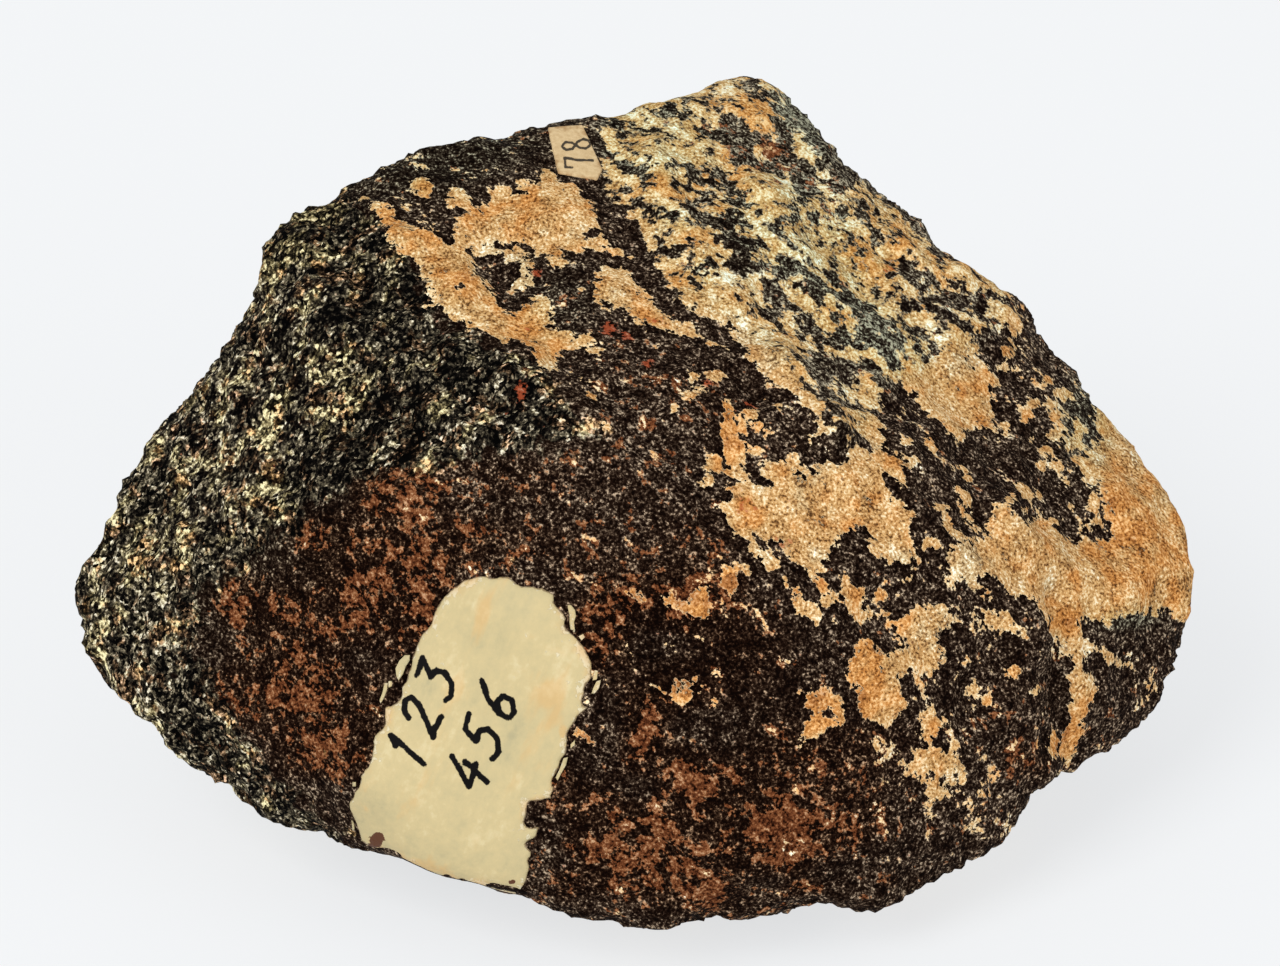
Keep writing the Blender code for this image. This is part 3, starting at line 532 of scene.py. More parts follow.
# Where the crust is orange, and, with less than nothing, where it is cream.
WARM_BLOTS = blots(
    (395, 235, 22, 16, 30, 0.7), (450, 285, 30, 40, 0, 0.3), (540, 345, 30, 20, 0, 0.6),
    (650, 318, 16, 10, 30, 0.9), (760, 342, 34, 14, 45, -0.7), (750, 510, 26, 18, 0, 0.6),
    (860, 500, 30, 40, 0, 0.1), (880, 440, 20, 16, 0, -0.3), (885, 550, 24, 20, 0, -0.2),
    (975, 570, 34, 20, 30, -0.5), (1118, 505, 18, 36, -10, 0.75), (1145, 560, 50, 44, 0, 0.75),
    (1110, 430, 30, 40, 50, -0.3), (1058, 618, 26, 20, 30, 0.7), (1080, 715, 24, 34, 0, 0.8),
    (1062, 745, 14, 20, 0, 0.6), (870, 665, 44, 50, 0, 0.7), (935, 615, 20, 14, 0, -0.5),
    (820, 715, 34, 24, 0, 1.1), (500, 252, 34, 12, 0, -0.8), (490, 222, 60, 36, 0, 0.45),
    (515, 310, 50, 30, 20, 0.35), (522, 276, 12, 16, 0, -0.8), (734, 450, 12, 12, 0, 1.1),
    (821, 585, 6, 8, 0, 0.9), (960, 410, 26, 26, 0, 0.3), (955, 350, 20, 24, 0, -0.3),
    (885, 250, 34, 28, 30, 0.9), (655, 135, 40, 22, 20, -0.45), (800, 225, 50, 36, 30, -0.45),
    (670, 190, 24, 14, 0, 0.4), (710, 290, 20, 12, 20, -0.5), (757, 118, 24, 30, 0, 0.8),
    (740, 170, 30, 24, 30, 0.4), (690, 605, 24, 22, 0, 1.9), (684, 690, 26, 18, 0, 1.8),
    (731, 582, 12, 12, 0, 1.5), (738, 425, 24, 24, 0, 1.1), (637, 598, 20, 16, 0, 1.6),
    (780, 600, 60, 30, 0, 0.5), (591, 398, 10, 8, 0, 1.0), (584, 738, 14, 12, 0, 1.7),
    (930, 728, 14, 18, 0, 0.3), (970, 795, 30, 20, 0, 0.4),
)

# How much farther out the stone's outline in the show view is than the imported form's, in millimetres.
RIM_SHIFTS = blots(
    # The first reaches over the whole outline.
    (640, 500, 4000, 4000, 0, -0.08),
    # The rest are single stretches of it, about clockwise from the top left.
    (584, 114, 36, 12, -10, -0.15), (430, 146, 24, 12, 0, -0.45), (520, 130, 46, 14, -10, -0.45),
    (640, 104, 30, 10, -10, -0.3), (740, 74, 30, 10, 0, -0.35), (778, 84, 12, 10, 40, -0.45),
    (834, 144, 30, 10, 50, -0.4), (885, 200, 20, 8, 45, -0.3), (950, 250, 26, 12, 45, -0.6),
    (1048, 345, 22, 10, 50, -0.4), (1070, 370, 16, 10, 50, 0.45), (1092, 402, 26, 12, 50, 0.6),
    (1147, 465, 20, 8, 50, 0.3), (1185, 515, 24, 10, 60, -0.35), (1196, 575, 30, 12, 90, -0.5),
    (1190, 618, 16, 10, 90, -0.35), (1174, 655, 20, 10, 80, 0.45), (1163, 700, 22, 12, 60, 0.55),
    (1077, 775, 20, 16, -20, -1.3), (1056, 766, 8, 9, 0, 0.9), (1042, 792, 18, 14, 0, -0.7),
    (1012, 822, 24, 12, -50, 0.12), (975, 855, 26, 12, -35, 0.35), (920, 885, 34, 12, -30, 0.5),
    (862, 908, 30, 10, 0, 0.25), (755, 918, 34, 12, 0, 0.4), (690, 916, 24, 10, 0, 0.15),
    (600, 920, 34, 10, 10, 0.18), (440, 880, 50, 12, 12, -0.35), (350, 850, 40, 12, 15, -0.35),
    (238, 800, 24, 14, 40, -0.6), (185, 765, 26, 12, 40, 0.7), (130, 710, 36, 14, 40, -0.65),
    (84, 640, 14, 10, 90, 0.3), (88, 560, 16, 10, -60, -0.35), (108, 522, 24, 12, -65, -0.5),
    (140, 455, 30, 12, -60, -0.45), (215, 357, 26, 10, -55, -0.3), (260, 268, 34, 12, 90, -0.5),
    (298, 213, 16, 12, 0, 0.65),
)


@dataclass(frozen=True)
class Numeral:
    """A figure drawn with a pen: lines in a box one high, from its foot up."""

    strokes: tuple[Corners, ...]


PEN_NUMERALS = {
    "1": Numeral(([(0.22, 0.80), (0.36, 0.98), (0.30, 0.02)],)),
    "2": Numeral(([
        (0.06, 0.76), (0.14, 0.93), (0.32, 0.98), (0.47, 0.86), (0.44, 0.64), (0.26, 0.36), (0.04, 0.06),
        (0.28, 0.09), (0.54, 0.04),
    ],)),
    "3": Numeral(([
        (0.08, 0.94), (0.48, 0.96), (0.24, 0.62), (0.44, 0.56), (0.52, 0.34), (0.40, 0.10), (0.18, 0.02),
        (0.02, 0.12),
    ],)),
    "4": Numeral(([(0.36, 0.98), (0.04, 0.36), (0.56, 0.38)], [(0.44, 0.66), (0.38, 0.0)])),
    "5": Numeral(([
        (0.50, 0.97), (0.16, 0.94), (0.10, 0.58), (0.34, 0.62), (0.50, 0.42), (0.44, 0.14), (0.22, 0.02),
        (0.02, 0.10),
    ],)),
    "6": Numeral(([
        (0.42, 0.98), (0.18, 0.72), (0.06, 0.36), (0.12, 0.08), (0.32, 0.02), (0.48, 0.18), (0.44, 0.40),
        (0.26, 0.48), (0.08, 0.34),
    ],)),
}
PRINT_NUMERALS = {
    "7": Numeral(([(0.04, 0.72), (0.08, 0.94), (0.52, 0.94)], [(0.52, 0.94), (0.34, 0.52), (0.24, 0.02)])),
    "8": Numeral(([
        (0.28, 0.98), (0.10, 0.86), (0.12, 0.64), (0.40, 0.46), (0.50, 0.24), (0.40, 0.05), (0.20, 0.03),
        (0.06, 0.20), (0.14, 0.42), (0.40, 0.62), (0.46, 0.84), (0.28, 0.98),
    ],)),
}


@dataclass(frozen=True)
class Lettering:
    """Figures set in a row on a skin, in pixels of the show view.

    Attributes:
        text: The figures.
        numerals: How each is drawn.
        foot: Where the first figure's lower left corner is.
        run: From one figure to the next.
        rise: From a figure's foot to its top.
        box: From a figure's left side to where its box ends, for a box as wide as it is high.
    """

    text: str
    numerals: dict[str, Numeral]
    foot: tuple[float, float]
    run: tuple[float, float]
    rise: tuple[float, float]
    box: tuple[float, float]

    def away(self, places: np.ndarray) -> np.ndarray:
        """How far places of the view, one pair a row, are from the pen's lines, in millimetres.

        Args:
            places: Places of the view, in pixels, one pair a row.

        Returns:
            The distances in millimetres.
        """
        nearest = np.full(len(places), np.inf)
        for position, figure in enumerate(self.text):
            foot = np.array(self.foot) + position * np.array(self.run)
            for stroke in self.numerals[figure].strokes:
                line = foot + np.array(stroke) @ np.array([self.box, self.rise])
                for start, end in zip(line, line[1:]):
                    along = end - start
                    share = np.clip((places - start) @ along / (along @ along), 0.0, 1.0)
                    gap = np.linalg.norm(places - start - share[:, None] * along, axis=1)
                    nearest = np.minimum(nearest, gap)
        return nearest * SHOW.pixel


class Measure(Enum):
    """What is kept at the points of a piece for its finish to read, by the attribute's name."""

    CRUST = "crust"
    FRACTURE = "fracture"
    RUST = "rust"
    PALE = "pale"
    GREY = "grey"
    RED = "red"
    WARM = "warm"
    MOTTLE = "mottle"
    RIM = "rim"
    INK = "ink"
    BARE = "bare"
    STAIN = "stain"


@dataclass(frozen=True)
class Cloud:
    """A soft pattern through the stone, on both sides of nothing.

    Attributes:
        amount: About how far it strays.
        spacing: The size of its blotches, in millimetres.
        offset: Where in the noise it starts, so that no two clouds are alike.
    """

    amount: float
    spacing: float
    offset: float

    def at(self, points: np.ndarray) -> np.ndarray:
        """The pattern at points in millimetres, one a row.

        Args:
            points: Points in millimetres, one a row.

        Returns:
            The pattern at each.
        """
        shift = Vector([self.offset * part for part in CLOUD_SHIFT])
        places = [Vector(point) / self.spacing + shift for point in points]
        soft = [noise.fractal(place, 0.8, LACUNARITY, OCTAVES) for place in places]
        return self.amount * np.array(soft)


@dataclass
class StoneMarkings:
    """The measures of the stone's markings, at each of its points.

    Lengths are in millimetres, and places in the show view in pixels.

    Attributes:
        points: The stone's points, one a row.
        normals: Which way the surface faces at each.
        turned: How far a point faces the eye where the shown markings start, and where they are whole.
        crust_fade: How far from a crust patch's outline its cover has changed by one.
        crust_range: The least and most that a crust patch's cover is.
        hole_fade: How far from a hole's outline the cover has changed by one.
        hole_least: The least that the cover in a hole is.
        fresh_fade: How far inside the fresh break's outline the break is whole.
        fresh_loss: How much less crust specks the fresh break.
        fresh_end: Where along the stone the fresh break of the hidden side starts, and where it is whole.
        ridge_fade: How far inside its outline the facet behind the ridge is whole.
        ridge_crust: How much more crust that facet has.
        ridge_pale: How much paler it is.
        ridge_grey: How much greyer it is.
        streaks_from: A place on the line beyond which the stone is streaked.
        streaks_way: Which way is beyond that line.
        streaks_fade: How far from the line the streaks are whole.
        streaks_end: Where the streaks fade at the right, and where they end.
        hidden_streaks: How far the hidden side is streaked.
        hidden_mottle: How far the crust of the hidden side is mottled.
    """

    points: np.ndarray
    normals: np.ndarray
    turned: tuple[float, float] = (-0.24, -0.02)
    crust_fade: float = 0.55
    crust_range: tuple[float, float] = (-3.0, 1.6)
    hole_fade: float = 0.3
    hole_least: float = -1.1
    fresh_fade: float = 1.6
    fresh_loss: float = 0.7
    fresh_end: tuple[float, float] = (-12.0, -30.0)
    ridge_fade: float = 0.8
    ridge_crust: float = 2.15
    ridge_pale: float = 0.85
    ridge_grey: float = 0.45
    streaks_from: tuple[float, float] = (650.0, 280.0)
    streaks_way: tuple[float, float] = (0.66, -0.75)
    streaks_fade: float = 30.0
    streaks_end: tuple[float, float] = (1010.0, 1080.0)
    hidden_streaks: float = 0.6
    hidden_mottle: float = 0.5
    places: np.ndarray = field(init=False)
    shown: np.ndarray = field(init=False)

    def __post_init__(self) -> None:
        """Finds where each point is seen, and how far it belongs to the show side."""
        self.places = SHOW.places(self.points)
        self.shown = smooth_step(*self.turned, -self.normals @ SHOW.axes()[2])

    def clouds(self, *layers: Cloud, start: float = 0.0) -> np.ndarray:
        """The sum of a fixed start and of clouds."""
        return sum((layer.at(self.points) for layer in layers), np.full(len(self.points), start))

    def either(self, shown: np.ndarray, hidden: np.ndarray | float) -> np.ndarray:
        """One measure on the show side and another on the hidden side."""
        return self.shown * shown + (1.0 - self.shown) * hidden

    def crust(self) -> np.ndarray:
        """How far the tan crust covers the rock: 0 for half of it, 1 for nearly all."""
        shown = CRUST_GROUND - self.fresh_loss * self.fracture() + total(CRUST_SPECKS, self.places)
        shown += self.ridge_crust * self.behind_ridge()
        for patch in CRUST_PATCHES:
            cover = np.clip(patch.inside(self.places) / self.crust_fade, *self.crust_range)
            shown = np.maximum(shown, cover)
        shown += total(RIDGE_BACK_GAPS, self.places)
        for hole in CRUST_HOLES:
            cover = np.maximum(-hole.inside(self.places) / self.hole_fade, self.hole_least)
            shown = np.minimum(shown, cover)
        clouds = Cloud(1.5, spacing=15.0, offset=3.1), Cloud(0.4, spacing=5.0, offset=8.4)
        return self.either(shown, self.clouds(*clouds, start=-0.75))

    def behind_ridge(self) -> np.ndarray:
        """How far a point belongs to the facet behind the ridge."""
        return smooth_step(-self.ridge_fade, self.ridge_fade, RIDGE_BACK.inside(self.places))

    def fracture(self) -> np.ndarray:
        """How far the surface is a fresh break: 0 where it is weathered, 1 where it is fresh."""
        inside = FRESH_BREAK.inside(self.places) / self.fresh_fade
        along = self.points[:, 0] + self.clouds(Cloud(6.0, spacing=12.0, offset=5.5))
        return self.either(np.clip(0.5 + 0.5 * inside, 0.0, 1.0), smooth_step(*self.fresh_end, along))

    def rust(self) -> np.ndarray:
        """How far rust covers the rock, as crust() counts it."""
        clouds = Cloud(1.2, spacing=11.0, offset=1.9), Cloud(0.5, spacing=4.0, offset=6.2)
        return self.either(RUST_GROUND + total(RUST_BLOTS, self.places), self.clouds(*clouds, start=-0.8))

    def streak(self) -> np.ndarray:
        """How far the markings are drawn out along the stone's streaks."""
        beyond = (self.places - np.array(self.streaks_from)) @ np.array(self.streaks_way)
        fades = 1.0 - smooth_step(*self.streaks_end, self.places[:, 0])
        shown = smooth_step(-self.streaks_fade, self.streaks_fade, beyond) * fades
        return self.either(shown, self.hidden_streaks)

    def pale(self) -> np.ndarray:
        """How much paler the rock's grain is than most."""
        shown = total(PALE_BLOTS, self.places) + self.ridge_pale * self.behind_ridge()
        return self.either(shown, self.clouds(Cloud(0.3, spacing=9.0, offset=2.7)))

    def grey(self) -> np.ndarray:
        """How green-grey the pale grain is."""
        shown = total(GREY_BLOTS, self.places) + self.ridge_grey * self.behind_ridge()
        hidden = self.clouds(Cloud(0.5, spacing=13.0, offset=7.7), start=0.5)
        return self.either(np.clip(shown, 0.0, 1.0), hidden)

    def red(self) -> np.ndarray:
        """Where the small red spots are."""
        return self.either(total(RED_SPOTS, self.places), 0.0)

    def warm(self) -> np.ndarray:
        """How orange the crust is, and, with less than nothing, how cream."""
        return self.either(total(WARM_BLOTS, self.places), self.clouds(Cloud(0.7, spacing=8.0, offset=4.3)))

    def mottle(self) -> np.ndarray:
        """How far the crust is split into small blotches with soft edges."""
        return self.either(self.behind_ridge(), self.hidden_mottle)

    def measures(self) -> dict[Measure, np.ndarray]:
        """Every measure that the stone's finish reads."""
        return {
            Measure.CRUST: self.crust(), Measure.FRACTURE: self.fracture(), Measure.RUST: self.rust(),
            Measure.PALE: self.pale(), Measure.GREY: self.grey(), Measure.RED: self.red(),
            Measure.WARM: self.warm(), Measure.MOTTLE: self.mottle(),
        }


class Lay(Enum):
    """How a colour is laid over another, as the Mix node names it."""

    OVER = "MIX"
    TINT = "MULTIPLY"


@dataclass(frozen=True)
class Coat:
    """A colour that is laid over another.

    Attributes:
        colour: The colour, or for a tint what each part of the other is multiplied by.
        share: How much of it there is where it is whole.
        lay: How it is laid.
    """

    colour: Colour
    share: float = 1.0
    lay: Lay = Lay.OVER


class Canvas:
    """Adds nodes to a node tree and links them."""

    def __init__(self, tree: bpy.types.NodeTree) -> None:
        """Draws on the tree."""
        self.tree = tree

    def node(self, kind: str, **settings: object) -> bpy.types.Node:
        """A new node of a kind, with some of its settings.

        Args:
            kind: The node's type, as Blender names it.
            settings: What is set on it, by name.

        Returns:
            The node.
        """
        node = self.tree.nodes.new(kind)
        for name, value in settings.items():
            setattr(node, name, value)
        return node

    def feed(self, socket: Socket, value: object) -> None:
        """Links a socket to another, or gives it a fixed value.

        Args:
            socket: The socket that is fed.
            value: Another socket, or a fixed value.
        """
        if isinstance(value, Socket):
            self.tree.links.new(value, socket)
        else:
            socket.default_value = value

    def scalar(self, operation: str, *numbers: object) -> Socket:
        """A number worked out from up to three others, by the operation that the Math node names so.

        Args:
            operation: What is done.
            numbers: Numbers or sockets, in the node's order.

        Returns:
            The result.
        """
        node = self.node("ShaderNodeMath", operation=operation)
        for socket, value in zip(node.inputs, numbers):
            self.feed(socket, value)
        return node.outputs[0]

    def rest(self, share: Socket) -> Socket:
        """What a share leaves of one."""
        return self.scalar("SUBTRACT", 1.0, share)

    def times(self, first: object, second: object) -> Socket:
        """One number times another."""
        return self.scalar("MULTIPLY", first, second)

    def vector(self, operation: str, first: object, second: object) -> Socket:
        """A vector worked out from another and a vector or scale, or for DOT_PRODUCT a number.

        Args:
            operation: What is done, as the Vector Math node names it.
            first: The first vector.
            second: The second, or for SCALE a number.

        Returns:
            The result.
        """
        node = self.node("ShaderNodeVectorMath", operation=operation)
        self.feed(node.inputs[0], first)
        self.feed(node.inputs["Scale" if operation == "SCALE" else 1], second)
        return node.outputs["Value" if operation == "DOT_PRODUCT" else "Vector"]

    def blend(self, share: object, first: object, second: object, lay: Lay = Lay.OVER) -> Socket:
        """A colour between two others.

        Args:
            share: How much of the second there is.
            first: The first colour.
            second: The second.
            lay: How the second is laid over the first.

        Returns:
            The colour.
        """
        node = self.node("ShaderNodeMix", data_type="RGBA", blend_type=lay.value)
        self.feed(node.inputs[0], share)
        self.feed(node.inputs[6], first)
        self.feed(node.inputs[7], second)
        return node.outputs[2]

    def coat(self, under: object, coat: Coat, where: Socket) -> Socket:
        """A colour with a coat over it, as far as a share says."""
        return self.blend(self.times(where, coat.share), under, (*coat.colour, 1.0), coat.lay)

    def step(self, value: object, start: object, end: object) -> Socket:
        """0 before start, 1 after end, with a soft change between them.

        Args:
            value: What is read.
            start: Where the change starts.
            end: Where it ends.

        Returns:
            The share.
        """
        node = self.node("ShaderNodeMapRange", interpolation_type="SMOOTHSTEP")
        for name, number in {"Value": value, "From Min": start, "From Max": end}.items():
            self.feed(node.inputs[name], number)
        return node.outputs[0]

    def ramp(self, value: object, stops: Scale) -> Socket:
        """A colour read off a scale of colours, which runs as far below nothing as above it.

        Args:
            value: Where on the scale it is read.
            stops: The scale.

        Returns:
            The colour.
        """
        node = self.node("ShaderNodeValToRGB")
        elements = node.color_ramp.elements
        while len(elements) < len(stops):
            elements.new(0.5)
        for element, (place, colour) in zip(elements, stops):
            element.position = place / SCALE_LENGTH + 0.5
            element.color = (*colour, 1.0)
        self.feed(node.inputs[0], self.scalar("MULTIPLY_ADD", value, 1.0 / SCALE_LENGTH, 0.5))
        return node.outputs[0]

    def group(self, tree: bpy.types.NodeTree, **inputs: object) -> Socket:
        """What a placed node group gives for some of its inputs.

        Args:
            tree: The group.
            inputs: What its inputs are fed, by name.

        Returns:
            Its one output.
        """
        node = self.node("ShaderNodeGroup", node_tree=tree)
        for name, value in inputs.items():
            self.feed(node.inputs[name], value)
        return node.outputs[0]


@dataclass
class Patterns:
    """The patterns and measures that a finish is made of, each by its name.

    Attributes:
        canvas: The nodes of the finish.
        sockets: What gives each one.
    """

    canvas: Canvas
    sockets: dict[str, Socket] = field(default_factory=dict)

    def __setitem__(self, name: str, socket: Socket) -> None:
        """Adds a pattern."""
        self.sockets[name] = socket

    def __getitem__(self, name: str) -> Socket:
        """A pattern that was added, or else the measure of that name at the piece's points.

        Args:
            name: The name of the pattern or measure.

        Returns:
            The socket that gives it.
        """
        if name not in self.sockets:
            attribute = self.canvas.node("ShaderNodeAttribute", attribute_name=Measure(name).value)
            self.sockets[name] = attribute.outputs["Fac"]
        return self.sockets[name]

    def sum(self, start: float = 0.0, **weights: float) -> Socket:
        """The sum of a fixed start and of patterns or measures, each times its weight.

        Args:
            start: The fixed start.
            weights: The weight of each, by its name.

        Returns:
            The sum.
        """
        value: object = start
        for name, weight in weights.items():
            value = self.canvas.scalar("MULTIPLY_ADD", self[name], weight, value)
        return value


@dataclass(frozen=True)
class GroupMaker:
    """Makes an empty node group with named inputs and outputs.

    Attributes:
        name: The group's name.
        inputs: Each input's name, with its kind and its usual value.
        outputs: Each output's name, with its kind.
    """

    name: str
    inputs: dict[str, tuple[str, object]]
    outputs: dict[str, str]

    def start(self) -> tuple[Canvas, dict[str, Socket], dict[str, Socket]]:
        """The group's canvas, the sockets that bring its inputs, and those that take its outputs."""
        tree = bpy.data.node_groups.new(self.name, "ShaderNodeTree")
        for name, (kind, usual) in self.inputs.items():
            socket = tree.interface.new_socket(name, in_out="INPUT", socket_type=kind)
            if usual is not None:
                socket.default_value = usual
        for name, kind in self.outputs.items():
            tree.interface.new_socket(name, in_out="OUTPUT", socket_type=kind)
        canvas = Canvas(tree)
        entry, ending = canvas.node("NodeGroupInput"), canvas.node("NodeGroupOutput")
        coming = {socket.name: socket for socket in entry.outputs if socket.name}
        going = {socket.name: socket for socket in ending.inputs if socket.name}
        return canvas, coming, going


@dataclass(frozen=True)
class SharedEffects:
    """The node groups that the finishes share."""

    grain: bpy.types.NodeTree
    cover: bpy.types.NodeTree
    flecks: bpy.types.NodeTree
    stretch: bpy.types.NodeTree

    FLOAT = "NodeSocketFloat"
    VECTOR = "NodeSocketVector"
    # How far the fractal noise strays from its middle value of a half, at this detail and roughness.
    NOISE_SPREAD = 0.0715
    DETAIL = 3.0
    ROUGHNESS = 0.6
    # How much of a fleck's radius is whole, before its edge fades.
    FLECK_CORE = 0.6

    @classmethod
    def build(cls) -> "SharedEffects":
        """Builds each group once."""
        return cls(cls._grain(), cls._cover(), cls._flecks(), cls._stretch())

    @classmethod
    def _grain(cls) -> bpy.types.NodeTree:
        """Fractal noise about nothing, that strays by 1, for a spacing in millimetres."""
        maker = GroupMaker("fractal_grain", {"Place": (cls.VECTOR, None), "Spacing": (cls.FLOAT, 1.0)},
                           {"Grain": cls.FLOAT})
        canvas, entry, ending = maker.start()
        texture = canvas.node("ShaderNodeTexNoise")
        canvas.feed(texture.inputs["Detail"], cls.DETAIL)
        canvas.feed(texture.inputs["Roughness"], cls.ROUGHNESS)
        canvas.feed(texture.inputs["Vector"], entry["Place"])
        canvas.feed(texture.inputs["Scale"], canvas.scalar("DIVIDE", 1.0, entry["Spacing"]))
        even = canvas.scalar("SUBTRACT", texture.outputs[0], 0.5)
        canvas.feed(ending["Grain"], canvas.scalar("DIVIDE", even, cls.NOISE_SPREAD))
        return canvas.tree

    @classmethod
    def _cover(cls) -> bpy.types.NodeTree:
        """A ragged layer: Bias says how much it covers, and Ragged how far its edge strays."""
        maker = GroupMaker(
            "ragged_cover",
            {"Noise": (cls.FLOAT, 0.0), "Bias": (cls.FLOAT, 0.0), "Ragged": (cls.FLOAT, 0.5),
             "Softness": (cls.FLOAT, 0.1)},
            {"Cover": cls.FLOAT},
        )
        canvas, entry, ending = maker.start()
        value = canvas.scalar("MULTIPLY_ADD", entry["Noise"], entry["Ragged"], entry["Bias"])
        low = canvas.times(entry["Softness"], -1.0)
        canvas.feed(ending["Cover"], canvas.step(value, low, entry["Softness"]))
        return canvas.tree

    @classmethod
    def _flecks(cls) -> bpy.types.NodeTree:
        """Scattered dots: Share says in how many cells one lies."""
        maker = GroupMaker(
            "scattered_flecks",
            {"Place": (cls.VECTOR, None), "Spacing": (cls.FLOAT, 1.0), "Share": (cls.FLOAT, 0.2),
             "Size": (cls.FLOAT, 0.4)},
            {"Fleck": cls.FLOAT},
        )
        canvas, entry, ending = maker.start()
        cells = canvas.node("ShaderNodeTexVoronoi")
        canvas.feed(cells.inputs["Vector"], entry["Place"])
        canvas.feed(cells.inputs["Scale"], canvas.scalar("DIVIDE", 1.0, entry["Spacing"]))
        parts = canvas.node("ShaderNodeSeparateColor")
        canvas.feed(parts.inputs[0], cells.outputs["Color"])
        picked = canvas.scalar("LESS_THAN", parts.outputs[0], entry["Share"])
        core = canvas.times(entry["Size"], cls.FLECK_CORE)
        dot = canvas.rest(canvas.step(cells.outputs["Distance"], core, entry["Size"]))
        canvas.feed(ending["Fleck"], canvas.times(picked, dot))
        return canvas.tree

    @classmethod
    def _stretch(cls) -> bpy.types.NodeTree:
        """Draws a pattern out along a direction, so many times."""
        maker = GroupMaker(
            "stretched_place",
            {"Place": (cls.VECTOR, None), "Along": (cls.VECTOR, (1.0, 0.0, 0.0)), "Times": (cls.FLOAT, 2.0)},
            {"Place": cls.VECTOR},
        )
        canvas, entry, ending = maker.start()
        along = canvas.vector("DOT_PRODUCT", entry["Place"], entry["Along"])
        lost = canvas.rest(canvas.scalar("DIVIDE", 1.0, entry["Times"]))
        taken = canvas.vector("SCALE", entry["Along"], canvas.times(along, lost))
        canvas.feed(ending["Place"], canvas.vector("SUBTRACT", entry["Place"], taken))
        return canvas.tree


class Surface:
    """A material in the making, with its patterns and its place in millimetres.

    Attributes:
        material: The material.
        canvas: Its nodes.
        parts: Its patterns and measures.
    """

    def __init__(self, name: str) -> None:
        """Starts a material of that name.

        Args:
            name: The material's name.
        """
        self.material = bpy.data.materials.new(name)
        self.material.use_nodes = True
        self.canvas = Canvas(self.material.node_tree)
        self.parts = Patterns(self.canvas)

    def place(self) -> Socket:
        """The place on the piece, in millimetres."""
        return self.canvas.vector("SCALE", self.canvas.node("ShaderNodeTexCoord").outputs["Object"], 1.0 / MM)

    def bump(self, height: Socket, depth: float) -> Socket:
        """A normal tilted by a height from 0 to 1, which stands for a depth in millimetres.

        Args:
            height: The height.
            depth: How much a height of one stands for.

        Returns:
            The normal.
        """
        node = self.canvas.node("ShaderNodeBump")
        self.canvas.feed(node.inputs["Distance"], depth * MM)
        self.canvas.feed(node.inputs["Height"], height)
        return node.outputs[0]

    def end(self, **inputs: object) -> bpy.types.Material:
        """Feeds the shader's inputs, each by its name with _ for a space, and gives the material.

        Args:
            inputs: What each input is fed.

        Returns:
            The finished material.
        """
        shader = self.material.node_tree.nodes["Principled BSDF"]
        for name, value in inputs.items():
            self.canvas.feed(shader.inputs[name.replace("_", " ")], value)
        return self.material


